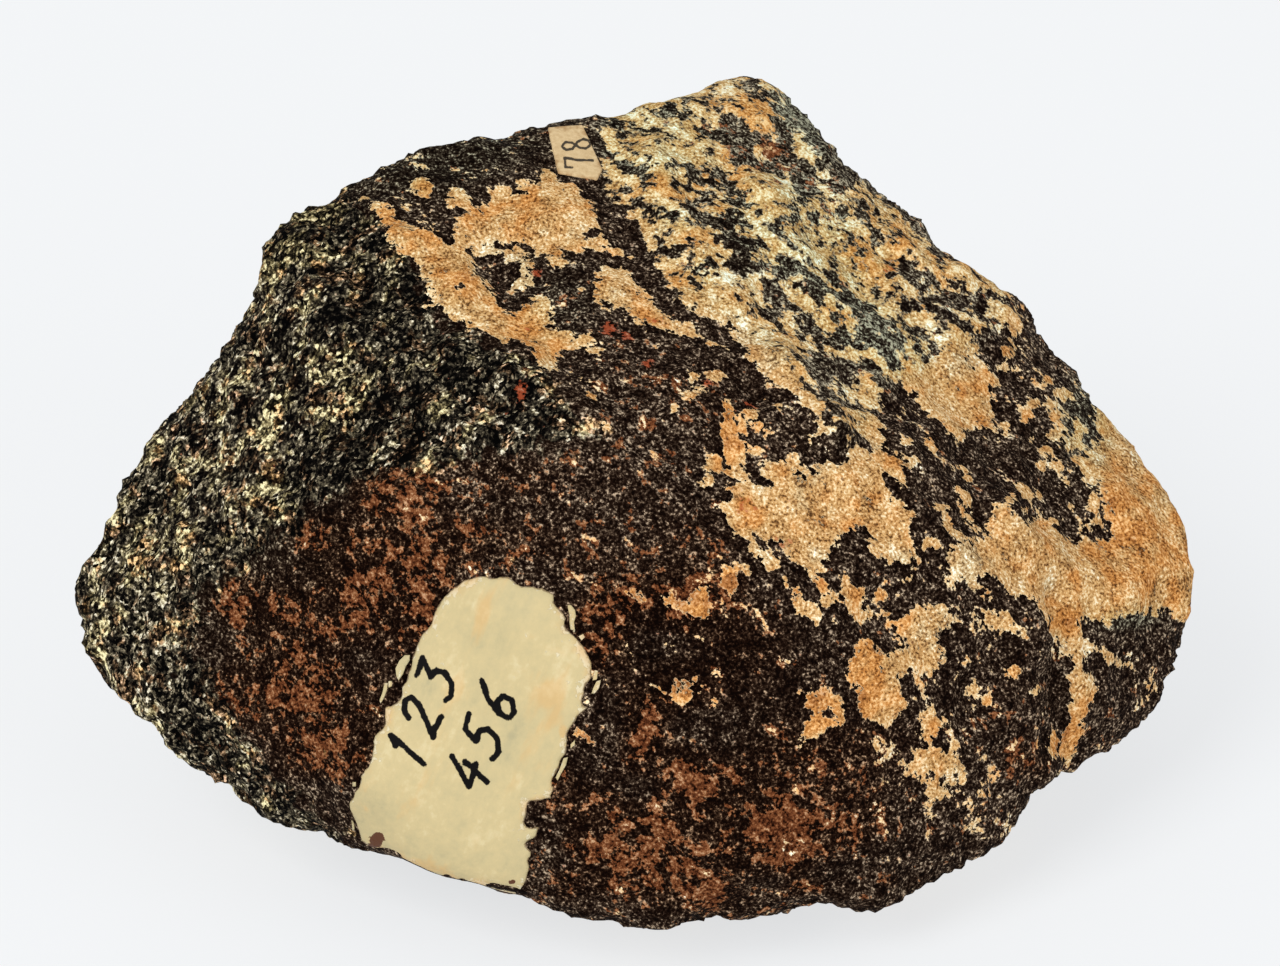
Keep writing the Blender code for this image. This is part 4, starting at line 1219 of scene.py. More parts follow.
@dataclass(frozen=True)
class StoneFinish:
    """Black granular rock with rust, tan crust and a fresh break.

    Each scale of colours runs from its darkest grains to its palest. Lengths are in millimetres.

    Attributes:
        rock: The weathered black rock.
        rust: The rust.
        crust: The tan crust.
        fresh_break_and_glints: The fresh break; its palest crystals stand for pale crystals and painted
            glints.
        skin: The green-grey weathered skin, on rock.
        rusted: Rock that has a little rust.
        straw: The yellow clumps of the fresh break.
        brown: Its brown crystals.
        orange: Orange crust.
        deep: The deepest of it.
        cream: Cream crust.
        greyed: Crust on the weathered skin.
        painted_edge_light_and_shade: The crust along its edge, painted paler as a highlight where the edge
            catches the light.
        pitted: The small pits in the crust.
        spotted: The red spots.
        speck: The spacing of the smallest grains.
        fine: The spacing of the ragged edges' steps.
        patchy: The spacing of the rust's patches.
        blotch: The spacing of the mottled crust's blotches.
        broad: The spacing of the clouds.
        clump: The spacing of the fresh break's clumps.
        crystal: The size of the fresh break's crystals.
        pit: The spacing of the crust's pits.
        streaked: How many times the grain is drawn out along the streaks.
        sharded: How many times the fresh break's is drawn out along its shards.
        gloss: How brightly the stone glints.
        relief: How deep the finest grain is.
    """

    rock: Scale = (
        (-2.0, (0.0022, 0.0007, 0.0003)), (-0.7, (0.0085, 0.0034, 0.0018)), (0.0, (0.0200, 0.0108, 0.0066)),
        (0.7, (0.052, 0.033, 0.021)), (1.4, (0.17, 0.120, 0.080)), (2.2, (0.50, 0.39, 0.27)),
    )
    rust: Scale = (
        (-1.9, (0.0080, 0.0019, 0.0009)), (-0.9, (0.044, 0.0120, 0.0044)), (0.0, (0.112, 0.0335, 0.0116)),
        (0.8, (0.190, 0.066, 0.0245)), (1.6, (0.31, 0.138, 0.059)), (2.3, (0.49, 0.29, 0.16)),
    )
    crust: Scale = (
        (-2.0, (0.075, 0.032, 0.010)), (-1.3, (0.24, 0.112, 0.036)), (-0.5, (0.45, 0.242, 0.084)),
        (0.3, (0.60, 0.345, 0.132)), (1.1, (0.76, 0.515, 0.245)), (2.0, (0.92, 0.76, 0.50)),
    )
    fresh_break_and_glints: Scale = (
        (-1.5, (0.0006, 0.0005, 0.0005)), (-0.7, (0.0045, 0.0034, 0.0026)), (0.0, (0.023, 0.0185, 0.0125)),
        (0.7, (0.090, 0.075, 0.047)), (1.5, (0.36, 0.30, 0.195)), (2.2, (0.90, 0.84, 0.66)),
    )
    skin: Coat = Coat((0.72, 1.10, 1.12), 0.6, Lay.TINT)
    rusted: Coat = Coat((1.00, 0.72, 0.52), 0.6, Lay.TINT)
    straw: Coat = Coat((1.04, 1.0, 0.74), lay=Lay.TINT)
    brown: Coat = Coat((1.10, 0.80, 0.66), lay=Lay.TINT)
    orange: Coat = Coat((0.98, 0.74, 0.52), lay=Lay.TINT)
    deep: Coat = Coat((0.66, 0.60, 0.66), lay=Lay.TINT)
    cream: Coat = Coat((1.10, 1.36, 1.80), lay=Lay.TINT)
    greyed: Coat = Coat((0.86, 1.02, 0.96), 0.7, Lay.TINT)
    painted_edge_light_and_shade: Coat = Coat((0.88, 0.70, 0.42), 0.5)
    pitted: Coat = Coat((0.15, 0.055, 0.018), 0.75)
    spotted: Coat = Coat((0.38, 0.072, 0.026), 0.7)
    speck: float = 0.24
    fine: float = 0.55
    patchy: float = 1.15
    blotch: float = 1.25
    broad: float = 1.7
    clump: float = 2.4
    crystal: float = 0.27
    pit: float = 0.75
    streaked: float = 1.45
    sharded: float = 1.4
    gloss: float = 0.015
    relief: float = 0.12

    def build(self, effects: SharedEffects) -> bpy.types.Material:
        """Builds the material.

        Args:
            effects: The shared node groups.

        Returns:
            The material for the whole stone.
        """
        surface = Surface("weathered_emery")
        canvas, parts = surface.canvas, surface.parts
        place = surface.place()
        leaning = self._add_grains(canvas, parts, effects, place)
        colour = self._rock(canvas, parts)

        rust_noise = parts.sum(speck=0.20, fine=0.50, patchy=0.50, broad=0.65)
        rusty = canvas.group(effects.cover, Noise=rust_noise, Bias=parts["rust"], Ragged=0.95, Softness=0.12)
        rust = canvas.ramp(parts.sum(speck=0.66, fine=0.55, broad=0.20), self.rust)
        colour = canvas.blend(rusty, colour, rust)

        # The fresh break, whose palest crystals are pale crystals and painted glints.
        fresh = canvas.group(effects.cover, Noise=parts["broad"], Bias=parts.sum(-1.0, fracture=2.0),
                             Ragged=0.35, Softness=0.25)
        colour = canvas.blend(fresh, colour, self._fresh_break_and_glints(canvas, parts, leaning))

        parts["ragged"] = parts.sum(speck=0.22, fine=0.55, broad=0.80)
        value = parts.sum(ragged=0.5, crust=1.0, blotch=0.75)
        soft = parts.sum(0.06, mottle=0.30)
        parts["covered"] = canvas.step(value, canvas.times(soft, -1.0), soft)
        pits = canvas.group(effects.flecks, Place=place, Spacing=self.pit, Share=0.42, Size=0.21)
        tan = canvas.coat(self._tan(canvas, parts, value), self.pitted, pits)
        colour = canvas.blend(parts["covered"], colour, tan)

        spots = canvas.step(parts.sum(-0.88, fine=0.25, speck=0.15, red=1.0), start=-0.1, end=0.35)
        return surface.end(
            Base_Color=canvas.coat(colour, self.spotted, spots),
            Roughness=parts.sum(0.72, covered=0.14),
            Specular_IOR_Level=self.gloss,
            Normal=surface.bump(parts.sum(0.5, fine=0.12, speck=0.05), self.relief),
        )

    def _add_grains(self, canvas: Canvas, parts: Patterns, effects: SharedEffects, place: Socket) -> Socket:
        """Adds the stone's grains to its patterns.

        Args:
            canvas: The material's nodes.
            parts: Its patterns.
            effects: The shared node groups.
            place: The place on the stone.

        Returns:
            The place drawn out along the fresh break's shards.
        """
        drawn = canvas.group(effects.stretch, Place=place, Along=tuple(STREAK_RUN), Times=self.streaked)
        leaning = canvas.group(effects.stretch, Place=place, Along=tuple(SHARD_LEAN), Times=self.sharded)
        grains = {
            "speck": (place, self.speck), "fine": (drawn, self.fine), "broad": (drawn, self.broad),
            "clump": (leaning, self.clump), "patchy": (place, self.patchy), "blotch": (place, self.blotch),
        }
        for name, (where, spacing) in grains.items():
            parts[name] = canvas.group(effects.grain, Place=where, Spacing=spacing)
        parts["blotch"] = canvas.times(parts["mottle"], parts["blotch"])
        return leaning

    def _rock(self, canvas: Canvas, parts: Patterns) -> Socket:
        """The weathered black rock's colour.

        Args:
            canvas: The material's nodes.
            parts: Its patterns.

        Returns:
            The colour.
        """
        tone = parts.sum(speck=0.80, fine=0.45, broad=0.28, pale=0.9, blotch=0.4)
        colour = canvas.coat(canvas.ramp(tone, self.rock), self.skin, parts["grey"])
        near_rust = canvas.step(parts.sum(rust=1.0, pale=-1.6), start=-1.6, end=-0.5)
        return canvas.coat(colour, self.rusted, near_rust)

    def _fresh_break_and_glints(self, canvas: Canvas, parts: Patterns, leaning: Socket) -> Socket:
        """The fresh break's colour, in crystals that lean as its shards do; its palest crystals are pale
        crystals and painted glints.

        Args:
            canvas: The material's nodes.
            parts: Its patterns.
            leaning: The place drawn out along the shards.

        Returns:
            The colour.
        """
        crystals = canvas.node("ShaderNodeTexVoronoi")
        canvas.feed(crystals.inputs["Scale"], 1.0 / self.crystal)
        canvas.feed(crystals.inputs["Vector"], leaning)
        chances = canvas.node("ShaderNodeSeparateColor")
        canvas.feed(chances.inputs[0], crystals.outputs["Color"])
        parts["chance"], parts["other_chance"] = chances.outputs[0], chances.outputs[1]
        # The crystals with the highest chance are palest: pale crystals and painted glints.
        tone = parts.sum(-1.50, chance=2.9, speck=0.42, fine=0.30, clump=0.45, pale=0.9)
        yellow = canvas.step(parts.sum(clump=0.6, grey=0.8), start=0.2, end=1.4)
        colour = canvas.coat(canvas.ramp(tone, self.fresh_break_and_glints), self.straw, yellow)
        brown = canvas.step(parts.sum(broad=0.7, other_chance=1.2), start=0.9, end=1.6)
        return canvas.coat(colour, self.brown, brown)

    def _tan(self, canvas: Canvas, parts: Patterns, value: Socket) -> Socket:
        """The tan crust's colour.

        Args:
            canvas: The material's nodes.
            parts: Its patterns.
            value: How far the crust covers the rock, with nothing at its edge.

        Returns:
            The colour.
        """
        hue = parts.sum(clump=0.35, warm=1.0)
        tan = canvas.ramp(parts.sum(speck=0.76, patchy=0.18, broad=0.35, blotch=0.50), self.crust)
        tan = canvas.coat(tan, self.orange, canvas.step(hue, start=0.0, end=1.0))
        tan = canvas.coat(tan, self.deep, canvas.step(hue, start=0.9, end=2.0))
        tan = canvas.coat(tan, self.cream, canvas.step(canvas.times(hue, -1.0), start=0.1, end=0.9))
        tan = canvas.coat(tan, self.greyed, parts["grey"])
        # The crust's edge is painted paler, a highlight where it catches the light.
        return canvas.coat(tan, self.painted_edge_light_and_shade, canvas.rest(canvas.step(value, start=0.05, end=0.22)))


@dataclass(frozen=True)
class EnamelFinish:
    """Brushed cream enamel, stained at its rim, with figures in black ink, a painted highlight along its
    raised rim and a painted shadow line at its very edge.

    Lengths are in millimetres.

    Attributes:
        cream: The enamel's colours, from its darkest strokes to its palest.
        rim_highlight: Paler along its rim and on its flakes, a painted highlight of the raised rim.
        smear: Its smears.
        stain: The stains along its rim.
        painted_edge_light_and_shade: Its very edge, a dark line of painted shadow and dirt where it meets the
            stone.
        speckled: The specks of dirt on it.
        bare: The rock where it is worn through.
        ink: The ink.
        pen: Half the width of the ink's lines.
        pen_edge: How soft the ink's edge is.
        broad: The spacing of its clouds.
        fine: The spacing of its grain.
        brush: The spacing of the brush's hairs.
        streak: The spacing of its strokes.
        stroke: How many times the strokes are drawn out.
        gloss: How brightly it glints.
        relief: How deep the strokes are.
    """

    cream: Scale = (
        (-1.6, (0.42, 0.365, 0.210)), (-0.6, (0.505, 0.422, 0.230)), (0.4, (0.562, 0.456, 0.242)),
        (1.5, (0.66, 0.565, 0.335)),
    )
    rim_highlight: Coat = Coat((0.72, 0.66, 0.48), 0.6)
    smear: Coat = Coat((0.62, 0.36, 0.13), 0.45)
    stain: Coat = Coat((0.62, 0.36, 0.13), 0.6)
    painted_edge_light_and_shade: Coat = Coat((0.15, 0.085, 0.040), 0.75)
    speckled: Coat = Coat((0.20, 0.10, 0.04), 0.6)
    bare: Coat = Coat((0.105, 0.040, 0.019))
    ink: Coat = Coat((0.0035, 0.003, 0.003))
    pen: float = 0.235
    pen_edge: float = 0.04
    broad: float = 4.5
    fine: float = 0.5
    brush: float = 0.8
    streak: float = 2.2
    stroke: float = 5.0
    gloss: float = 0.06
    relief: float = 0.10

    def build(self, effects: SharedEffects) -> bpy.types.Material:
        """Builds the material from the shared node groups.

        Args:
            effects: The shared node groups.

        Returns:
            The material for the whole skin.
        """
        surface = Surface("cream_enamel")
        canvas, parts = surface.canvas, surface.parts
        place = surface.place()
        brushed = canvas.group(effects.stretch, Place=place, Along=tuple(SHARD_LEAN), Times=self.stroke)
        grains = {
            "broad": (place, self.broad), "fine": (place, self.fine), "brush": (brushed, self.brush),
            "streak": (brushed, self.streak),
        }
        for name, (where, spacing) in grains.items():
            parts[name] = canvas.group(effects.grain, Place=where, Spacing=spacing)
        parts["near_rim"] = canvas.rest(canvas.step(parts["rim"], start=0.0, end=1.4))
        # Near its rim the enamel is raised, and there it is painted paler as a highlight.
        raised_rim_level = parts.sum(-1.65, broad=0.4, fine=0.40, near_rim=1.6)
        parts["flaked"] = canvas.step(raised_rim_level, start=0.0, end=0.3)
        smeared = canvas.step(parts.sum(streak=0.35, stain=1.0), start=0.3, end=1.3)
        stained = canvas.group(effects.cover, Noise=parts["broad"], Bias=parts.sum(-1.9, near_rim=1.2),
                               Ragged=0.6, Softness=0.9)
        # The very edge is painted dark: painted shadow where the enamel meets the stone, with some dirt.
        edge = canvas.rest(canvas.step(parts.sum(rim=1.0, fine=-0.03), start=0.02, end=0.12))
        specks = canvas.group(effects.flecks, Place=place, Spacing=1.5, Share=0.07, Size=0.10)
        worn = canvas.step(parts.sum(fine=0.12, bare=1.0), start=0.45, end=0.55)
        line = parts.sum(ink=1.0, fine=0.022)
        parts["inked"] = canvas.rest(canvas.step(line, self.pen - self.pen_edge, self.pen + self.pen_edge))

        colour = canvas.ramp(parts.sum(streak=0.16, brush=0.12, broad=0.35, fine=0.14), self.cream)
        coats = [
            (self.rim_highlight, parts["flaked"]), (self.smear, smeared), (self.stain, stained), (self.painted_edge_light_and_shade, edge),
            (self.speckled, specks), (self.bare, worn), (self.ink, parts["inked"]),
        ]
        for coat, where in coats:
            colour = canvas.coat(colour, coat, where)
        return surface.end(
            Base_Color=colour,
            Roughness=parts.sum(0.46, inked=0.1),
            Specular_IOR_Level=self.gloss,
            Normal=surface.bump(parts.sum(0.4, brush=0.08, streak=0.08, flaked=0.3), self.relief),
        )


@dataclass(frozen=True)
class PaperFinish:
    """Yellowed paper with printed figures.

    Lengths are in millimetres.

    Attributes:
        paper: The paper's colour.
        fibre: Its darker fibres.
        foxing: Its darker spots and rim.
        ink: The print.
        pen: Half the width of the print's lines.
        pen_edge: How soft the print's edge is.
        fibres: The spacing of the fibres.
        broad: The spacing of the foxing.
        roughness: How rough the paper is.
        gloss: How brightly it glints.
        relief: How deep its grain is.
    """

    paper: Colour = (0.66, 0.49, 0.27)
    fibre: Coat = Coat((0.48, 0.32, 0.15))
    foxing: Coat = Coat((0.34, 0.19, 0.075), 0.7)
    ink: Coat = Coat((0.016, 0.013, 0.012), 0.94)
    pen: float = 0.105
    pen_edge: float = 0.03
    fibres: float = 0.4
    broad: float = 1.6
    roughness: float = 0.85
    gloss: float = 0.2
    relief: float = 0.04

    def build(self, effects: SharedEffects) -> bpy.types.Material:
        """Builds the material from the shared node groups.

        Args:
            effects: The shared node groups.

        Returns:
            The material for the whole skin.
        """
        surface = Surface("aged_paper")
        canvas, parts = surface.canvas, surface.parts
        place = surface.place()
        parts["fibres"] = canvas.group(effects.grain, Place=place, Spacing=self.fibres)
        parts["broad"] = canvas.group(effects.grain, Place=place, Spacing=self.broad)
        parts["near_rim"] = canvas.rest(canvas.step(parts["rim"], start=0.0, end=0.5))
        foxed = canvas.group(effects.cover, Noise=parts["broad"], Bias=parts.sum(-1.3, near_rim=1.1),
                             Ragged=0.6, Softness=0.9)
        line = parts.sum(ink=1.0, fibres=0.015)
        inked = canvas.rest(canvas.step(line, self.pen - self.pen_edge, self.pen + self.pen_edge))
        colour = canvas.coat((*self.paper, 1.0), self.fibre, parts.sum(0.3, fibres=0.14))
        colour = canvas.coat(canvas.coat(colour, self.foxing, foxed), self.ink, inked)
        return surface.end(
            Base_Color=colour,
            Roughness=self.roughness,
            Specular_IOR_Level=self.gloss,
            Normal=surface.bump(parts.sum(0.5, fibres=0.1), self.relief),
        )


def keep_measure(mesh: bpy.types.Mesh, measure: Measure, values: np.ndarray) -> None:
    """Keeps a measure at the points of a mesh, for its finish to read."""
    attribute = mesh.attributes.new(measure.value, "FLOAT", "POINT")
    attribute.data.foreach_set("value", values.astype(np.float32))


def points_of(mesh: bpy.types.Mesh) -> np.ndarray:
    """The points of a mesh in millimetres, one a row."""
    flat = np.zeros(len(mesh.vertices) * 3)
    mesh.vertices.foreach_get("co", flat)
    return flat.reshape(-1, 3) / MM


def normals_of(mesh: bpy.types.Mesh) -> np.ndarray:
    """Which way a mesh faces at its points, one a row."""
    flat = np.zeros(len(mesh.vertices) * 3, dtype=np.float32)
    mesh.vertex_normals.foreach_get("vector", flat)
    return flat.reshape(-1, 3).astype(float)


def rub(bm: bmesh.types.BMesh, verts: list[bmesh.types.BMVert], times: int) -> None:
    """Smooths some of the points of a mesh, so many times."""
    for _ in range(times):
        bmesh.ops.smooth_vert(bm, verts=verts, factor=0.5, use_axis_x=True, use_axis_y=True, use_axis_z=True)


def new_piece(name: str, mesh: bpy.types.Mesh, material: bpy.types.Material) -> bpy.types.Object:
    """An object of a finished mesh, at the origin, with its finish.

    Args:
        name: The piece's name.
        mesh: Its mesh.
        material: Its finish.

    Returns:
        The piece, in the scene.
    """
    mesh.name = name
    mesh.materials.clear()
    mesh.materials.append(material)
    piece = bpy.data.objects.new(name, mesh)
    bpy.context.scene.collection.objects.link(piece)
    mesh.shade_smooth()
    return piece


class Grain(Enum):
    """The kinds of grain that the stone's surface is raised in."""

    SOFT = "soft noise, from -1 to 1"
    CHIPPED = "shallow scallops with sharp edges between them, from -0.5 to 0.5"


@dataclass(frozen=True)
class Relief:
    """A layer of the stone's low relief. Lengths are in millimetres.

    Attributes:
        grain: Its kind of grain.
        spacing: The size of its grains.
        height: How far it stands out on plain rock.
        fresh: How much farther on the fresh break.
        crust: How much farther on the crust.
        offset: Where in the noise it starts, so that no two layers are alike.
        along: The direction that it is drawn out in.
        times: How many times it is drawn out.
    """

    grain: Grain
    spacing: float
    height: float
    fresh: float = 0.0
    crust: float = 0.0
    offset: float = 0.0
    along: tuple[float, float, float] = (0.0, 0.0, 1.0)
    times: float = 1.0

    def at(self, points: np.ndarray, fresh: np.ndarray | float, crust: np.ndarray | float) -> np.ndarray:
        """How far the layer stands out.

        Args:
            points: Points in millimetres, one a row.
            fresh: How far each is on the fresh break.
            crust: How far each is on the crust.

        Returns:
            The height at each point, in millimetres.
        """
        along = np.array(self.along)
        drawn = points - (points @ along)[:, None] * along * (1.0 - 1.0 / self.times)
        kinds = {Grain.SOFT: self._soft, Grain.CHIPPED: self._chipped}
        pattern = np.array([kinds[self.grain](Vector(place)) for place in drawn / self.spacing])
        return pattern * (self.height + self.fresh * fresh + self.crust * crust)

    def _soft(self, place: Vector) -> float:
        """Soft noise at a place, in grains."""
        return noise.noise(place + Vector((self.offset, self.offset, self.offset)))

    def _chipped(self, place: Vector) -> float:
        """The scallops' height at a place, in grains."""
        near, _ = noise.voronoi(place, distance_metric="DISTANCE")
        return (near[0] / max(near[1], 1e-6)) ** 2 - 0.5


@dataclass
class EmeryStone:
    """The stone, with the grain of its surface.

    Attributes:
        node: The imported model's node that it stands for.
        cell: The size of the cells that it is skinned in.
        rubbing: How often the skin is smoothed before its grain is raised.
        flat_reach: How near the resting plane a point belongs to the flat spot.
        lowest: How high above that plane every other point is at least.
        under_skins: How far under a skin the grain starts to fade, less than nothing being beside the skin,
            and how far under it there is none.
        layers: The low relief that is all over the stone.
        ledges: The ledges along its streaks.
        ledges_lost: How much of the ledges the crust covers.
        nicks: The nicks of its outline in the show view.
        nicks_lost: How much of the nicks the crust covers.
        edge_on: How far a point faces the eye where the outline's nicks are whole, and where there are none.
        crust_height: How far the crust stands out.
        crust_starts: The crust's cover where it starts to stand out, and where it is whole.
        Lengths are in millimetres.
    """

    node: str = "emery_stone"
    cell: float = 0.48
    rubbing: int = 8
    flat_reach: float = 0.22
    lowest: float = 0.02
    under_skins: tuple[float, float] = (-1.0, 0.3)
    layers: tuple[Relief, ...] = (
        Relief(Grain.SOFT, 1.2, height=0.24, fresh=0.14, crust=-0.14, offset=3.0),
        Relief(Grain.SOFT, 3.0, height=0.22, fresh=0.10, offset=7.0),
        Relief(Grain.CHIPPED, 2.3, height=0.16, fresh=0.20, crust=-0.10),
        Relief(Grain.SOFT, 1.6, height=0.0, fresh=0.34, offset=9.0, along=tuple(SHARD_LEAN), times=1.5),
    )
    ledges: Relief = Relief(Grain.SOFT, 1.3, height=0.20, offset=5.0, along=tuple(STREAK_RUN), times=3.0)
    ledges_lost: float = 0.8
    nicks: tuple[Relief, ...] = (
        Relief(Grain.SOFT, 0.95, height=0.36, offset=13.0), Relief(Grain.CHIPPED, 1.5, height=0.30),
    )
    nicks_lost: float = 0.75
    edge_on: tuple[float, float] = (0.1, 0.65)
    crust_height: float = 0.07
    crust_starts: tuple[float, float] = (-0.3, 0.5)

    def build(self, finish: bpy.types.Material) -> bpy.types.Object:
        """Builds the stone.

        Args:
            finish: Its material.

        Returns:
            The piece, in place.
        """
        mesh = self._skin()
        markings = StoneMarkings(points_of(mesh), normals_of(mesh))
        measures = markings.measures()
        raised = markings.points + markings.normals * self._relief(markings, measures)[:, None]
        flat = markings.points[:, 2] < self.flat_reach
        raised[:, 2] = np.where(flat, 0.0, np.maximum(raised[:, 2], self.lowest))
        mesh.vertices.foreach_set("co", (raised * MM).ravel())
        mesh.update()
        for measure, values in measures.items():
            keep_measure(mesh, measure, values)
        piece = new_piece("weathered_stone", mesh, finish)
        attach(piece, "root")
        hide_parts(self.node)
        return piece

    def _skin(self) -> bpy.types.Mesh:
        """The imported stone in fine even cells, with its facets rubbed smooth."""
        bm = bmesh.new()
        bm.from_mesh(frame["nodes"][self.node].data)
        bmesh.ops.remove_doubles(bm, verts=bm.verts, dist=WELD * MM)
        mesh = bpy.data.meshes.new("stone_form")
        bm.to_mesh(mesh)
        bm.free()
        helper = bpy.data.objects.new("stone_form", mesh)
        bpy.context.scene.collection.objects.link(helper)
        skin = helper.modifiers.new("skin", "REMESH")
        skin.mode = "VOXEL"
        skin.voxel_size = self.cell * MM
        bpy.context.view_layer.update()
        graph = bpy.context.evaluated_depsgraph_get()
        skinned = bpy.data.meshes.new_from_object(helper.evaluated_get(graph))
        bpy.data.objects.remove(helper)
        bm = bmesh.new()
        bm.from_mesh(skinned)
        rub(bm, bm.verts[:], self.rubbing)
        bmesh.ops.recalc_face_normals(bm, faces=bm.faces)
        bm.to_mesh(skinned)
        bm.free()
        return skinned

    def _relief(self, markings: StoneMarkings, measures: dict[Measure, np.ndarray]) -> np.ndarray:
        """How far the stone stands out from its skin at each point, in millimetres.

        Args:
            markings: The stone's markings.
            measures: Its measures.

        Returns:
            The height at each point.
        """
        points, places = markings.points, markings.places
        under = np.maximum(PATCH_OUTLINE.inside(places), TAG_OUTLINE.inside(places))
        kept = 1.0 - markings.shown * smooth_step(*self.under_skins, under)
        fresh, crust = measures[Measure.FRACTURE], smooth_step(*self.crust_starts, measures[Measure.CRUST])
        edge_on = 1.0 - smooth_step(*self.edge_on, np.abs(markings.normals @ SHOW.axes()[2]))
        height = sum(layer.at(points, fresh, crust) for layer in self.layers)
        bare = (1.0 - fresh) * (1.0 - self.ledges_lost * crust)
        height += self.ledges.at(points, 0.0, 0.0) * markings.streak() * bare
        nicks = sum(layer.at(points, 0.0, 0.0) for layer in self.nicks)
        height += edge_on * nicks * (1.0 - self.nicks_lost * crust)
        return (height + self.crust_height * crust) * kept + edge_on * total(RIM_SHIFTS, places)


@dataclass
class StoneSkin:
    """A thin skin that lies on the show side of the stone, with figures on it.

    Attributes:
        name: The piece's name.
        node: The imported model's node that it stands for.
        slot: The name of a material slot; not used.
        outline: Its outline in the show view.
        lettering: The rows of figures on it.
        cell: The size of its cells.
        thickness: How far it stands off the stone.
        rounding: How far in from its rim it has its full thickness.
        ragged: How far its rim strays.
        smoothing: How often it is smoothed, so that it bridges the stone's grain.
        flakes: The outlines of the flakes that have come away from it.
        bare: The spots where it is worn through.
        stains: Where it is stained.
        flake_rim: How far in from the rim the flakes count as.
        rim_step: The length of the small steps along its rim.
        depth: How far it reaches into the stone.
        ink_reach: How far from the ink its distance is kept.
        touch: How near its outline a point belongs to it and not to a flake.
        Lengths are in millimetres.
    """

    name: str
    node: str
    slot: str
    outline: Outline
    lettering: list[Lettering]
    cell: float
    thickness: float
    rounding: float
    ragged: float
    smoothing: int
    flakes: list[Outline] = field(default_factory=list)
    bare: list[Blot] = field(default_factory=list)
    stains: list[Blot] = field(default_factory=list)
    flake_rim: float = 0.16
    rim_step: float = 0.22
    depth: float = 0.35
    ink_reach: float = 10.0
    touch: float = 0.01

    def build(self, stone: bpy.types.Object, finish: bpy.types.Material) -> bpy.types.Object:
        """Builds the skin.

        Args:
            stone: The finished stone.
            finish: The skin's material.

        Returns:
            The piece, in place.
        """
        outline = self._ragged(self.outline)
        bm = self._flat_grid([outline, *self.flakes])
        places = np.array([vert.co[:2] for vert in bm.verts])
        rim = outline.inside(places)
        loose = rim < -self.touch
        rim[loose] = self.flake_rim
        ink = np.full(len(places), self.ink_reach)
        for row in self.lettering:
            ink = np.minimum(ink, row.away(places))
        self._lay_on(bm, stone, rim, loose)
        measures = {
            Measure.RIM: rim, Measure.INK: ink, Measure.BARE: total(self.bare, places),
            Measure.STAIN: total(self.stains, places),
        }
        mesh = bpy.data.meshes.new(self.name)
        bm.to_mesh(mesh)
        bm.free()
        for measure, values in measures.items():
            keep_measure(mesh, measure, np.concatenate([values, values]))
        piece = new_piece(self.name, mesh, finish)
        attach(piece, "root")
        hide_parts(self.node)
        return piece

    def _ragged(self, outline: Outline) -> Outline:
        """An outline with small steps along its rim.

        Args:
            outline: The plain outline.

        Returns:
            The ragged one.
        """
        corners = np.array(outline.corners, dtype=float)
        ragged = []
        for start, end in zip(corners, np.roll(corners, -1, axis=0)):
            length = np.linalg.norm(end - start)
            count = max(int(length * SHOW.pixel / self.rim_step), 1)
            beside = np.array([end[1] - start[1], start[0] - end[0]]) / length
            for share in np.arange(count) / count:
                place = start + (end - start) * share
                steps = Vector((place[0] * RIM_GRAIN, place[1] * RIM_GRAIN, 0.0))
                stray = noise.fractal(steps, 0.6, LACUNARITY, OCTAVES)
                place = place + beside * stray * self.ragged / SHOW.pixel
                ragged.append((float(place[0]), float(place[1])))
        return Outline(ragged)

    def _flat_grid(self, outlines: list[Outline]) -> bmesh.types.BMesh:
        """The outlines as flat faces, in pixels, cut in square cells.

        Args:
            outlines: The skin's outline and its flakes'.

        Returns:
            The flat mesh.
        """
        bm = bmesh.new()
        for outline in outlines:
            bm.faces.new([bm.verts.new((right, down, 0.0)) for right, down in outline.corners])
        corners = np.array([vert.co[:2] for vert in bm.verts])
        step = self.cell / SHOW.pixel
        for axis, across in enumerate((Vector((1.0, 0.0, 0.0)), Vector((0.0, 1.0, 0.0)))):
            low, high = corners[:, axis].min(), corners[:, axis].max()
            for level in np.arange(low + step, high, step):
                bmesh.ops.bisect_plane(bm, geom=[*bm.verts, *bm.edges, *bm.faces], dist=CUT_SNAP,
                                       plane_co=across * float(level), plane_no=across)
        return bm

    def _lay_on(self, bm: bmesh.types.BMesh, stone: bpy.types.Object, rim: np.ndarray,
                loose: np.ndarray) -> None:
        """Lays the flat grid on the stone and gives it its thickness.

        Args:
            bm: The flat grid, in pixels.
            stone: The finished stone.
            rim: How far in from the rim each point is, in millimetres.
            loose: Whether each point is on a flake.
        """
        polygons = [polygon.vertices for polygon in stone.data.polygons]
        tree = BVHTree.FromPolygons([vertex.co for vertex in stone.data.vertices], polygons)
        eye = SHOW.eye()
        outward = Vector()
        middle = np.array([vert.co[:2] for vert in bm.verts]).mean(axis=0)
        for vert in bm.verts:
            place, pixel = None, np.array(vert.co[:2])
            while place is None:
                ray = (SHOW.point(*pixel, SHOW.plane) - eye).normalized()
                place, normal, _, _ = tree.ray_cast(eye, ray)
                pixel += (middle - pixel) * INWARD_STEP
            vert.co = place
            outward += normal
        outward.normalize()
        rub(bm, [vert for vert, flake in zip(bm.verts, loose) if not flake], self.smoothing)
        lift = np.sqrt(np.clip(rim / self.rounding, 0.0, 1.0)) * self.thickness
        lifts = [outward * float(rise) * MM for rise in lift]
        under = bmesh.ops.extrude_face_region(bm, geom=bm.faces[:])["geom"]
        lower = [vert for vert in under if isinstance(vert, bmesh.types.BMVert)]
        bm.verts.ensure_lookup_table()
        for vert, rise in zip(bm.verts[:len(lifts)], lifts):
            vert.co += rise
        bmesh.ops.translate(bm, vec=outward * -self.depth * MM, verts=lower)
        bmesh.ops.recalc_face_normals(bm, faces=bm.faces)


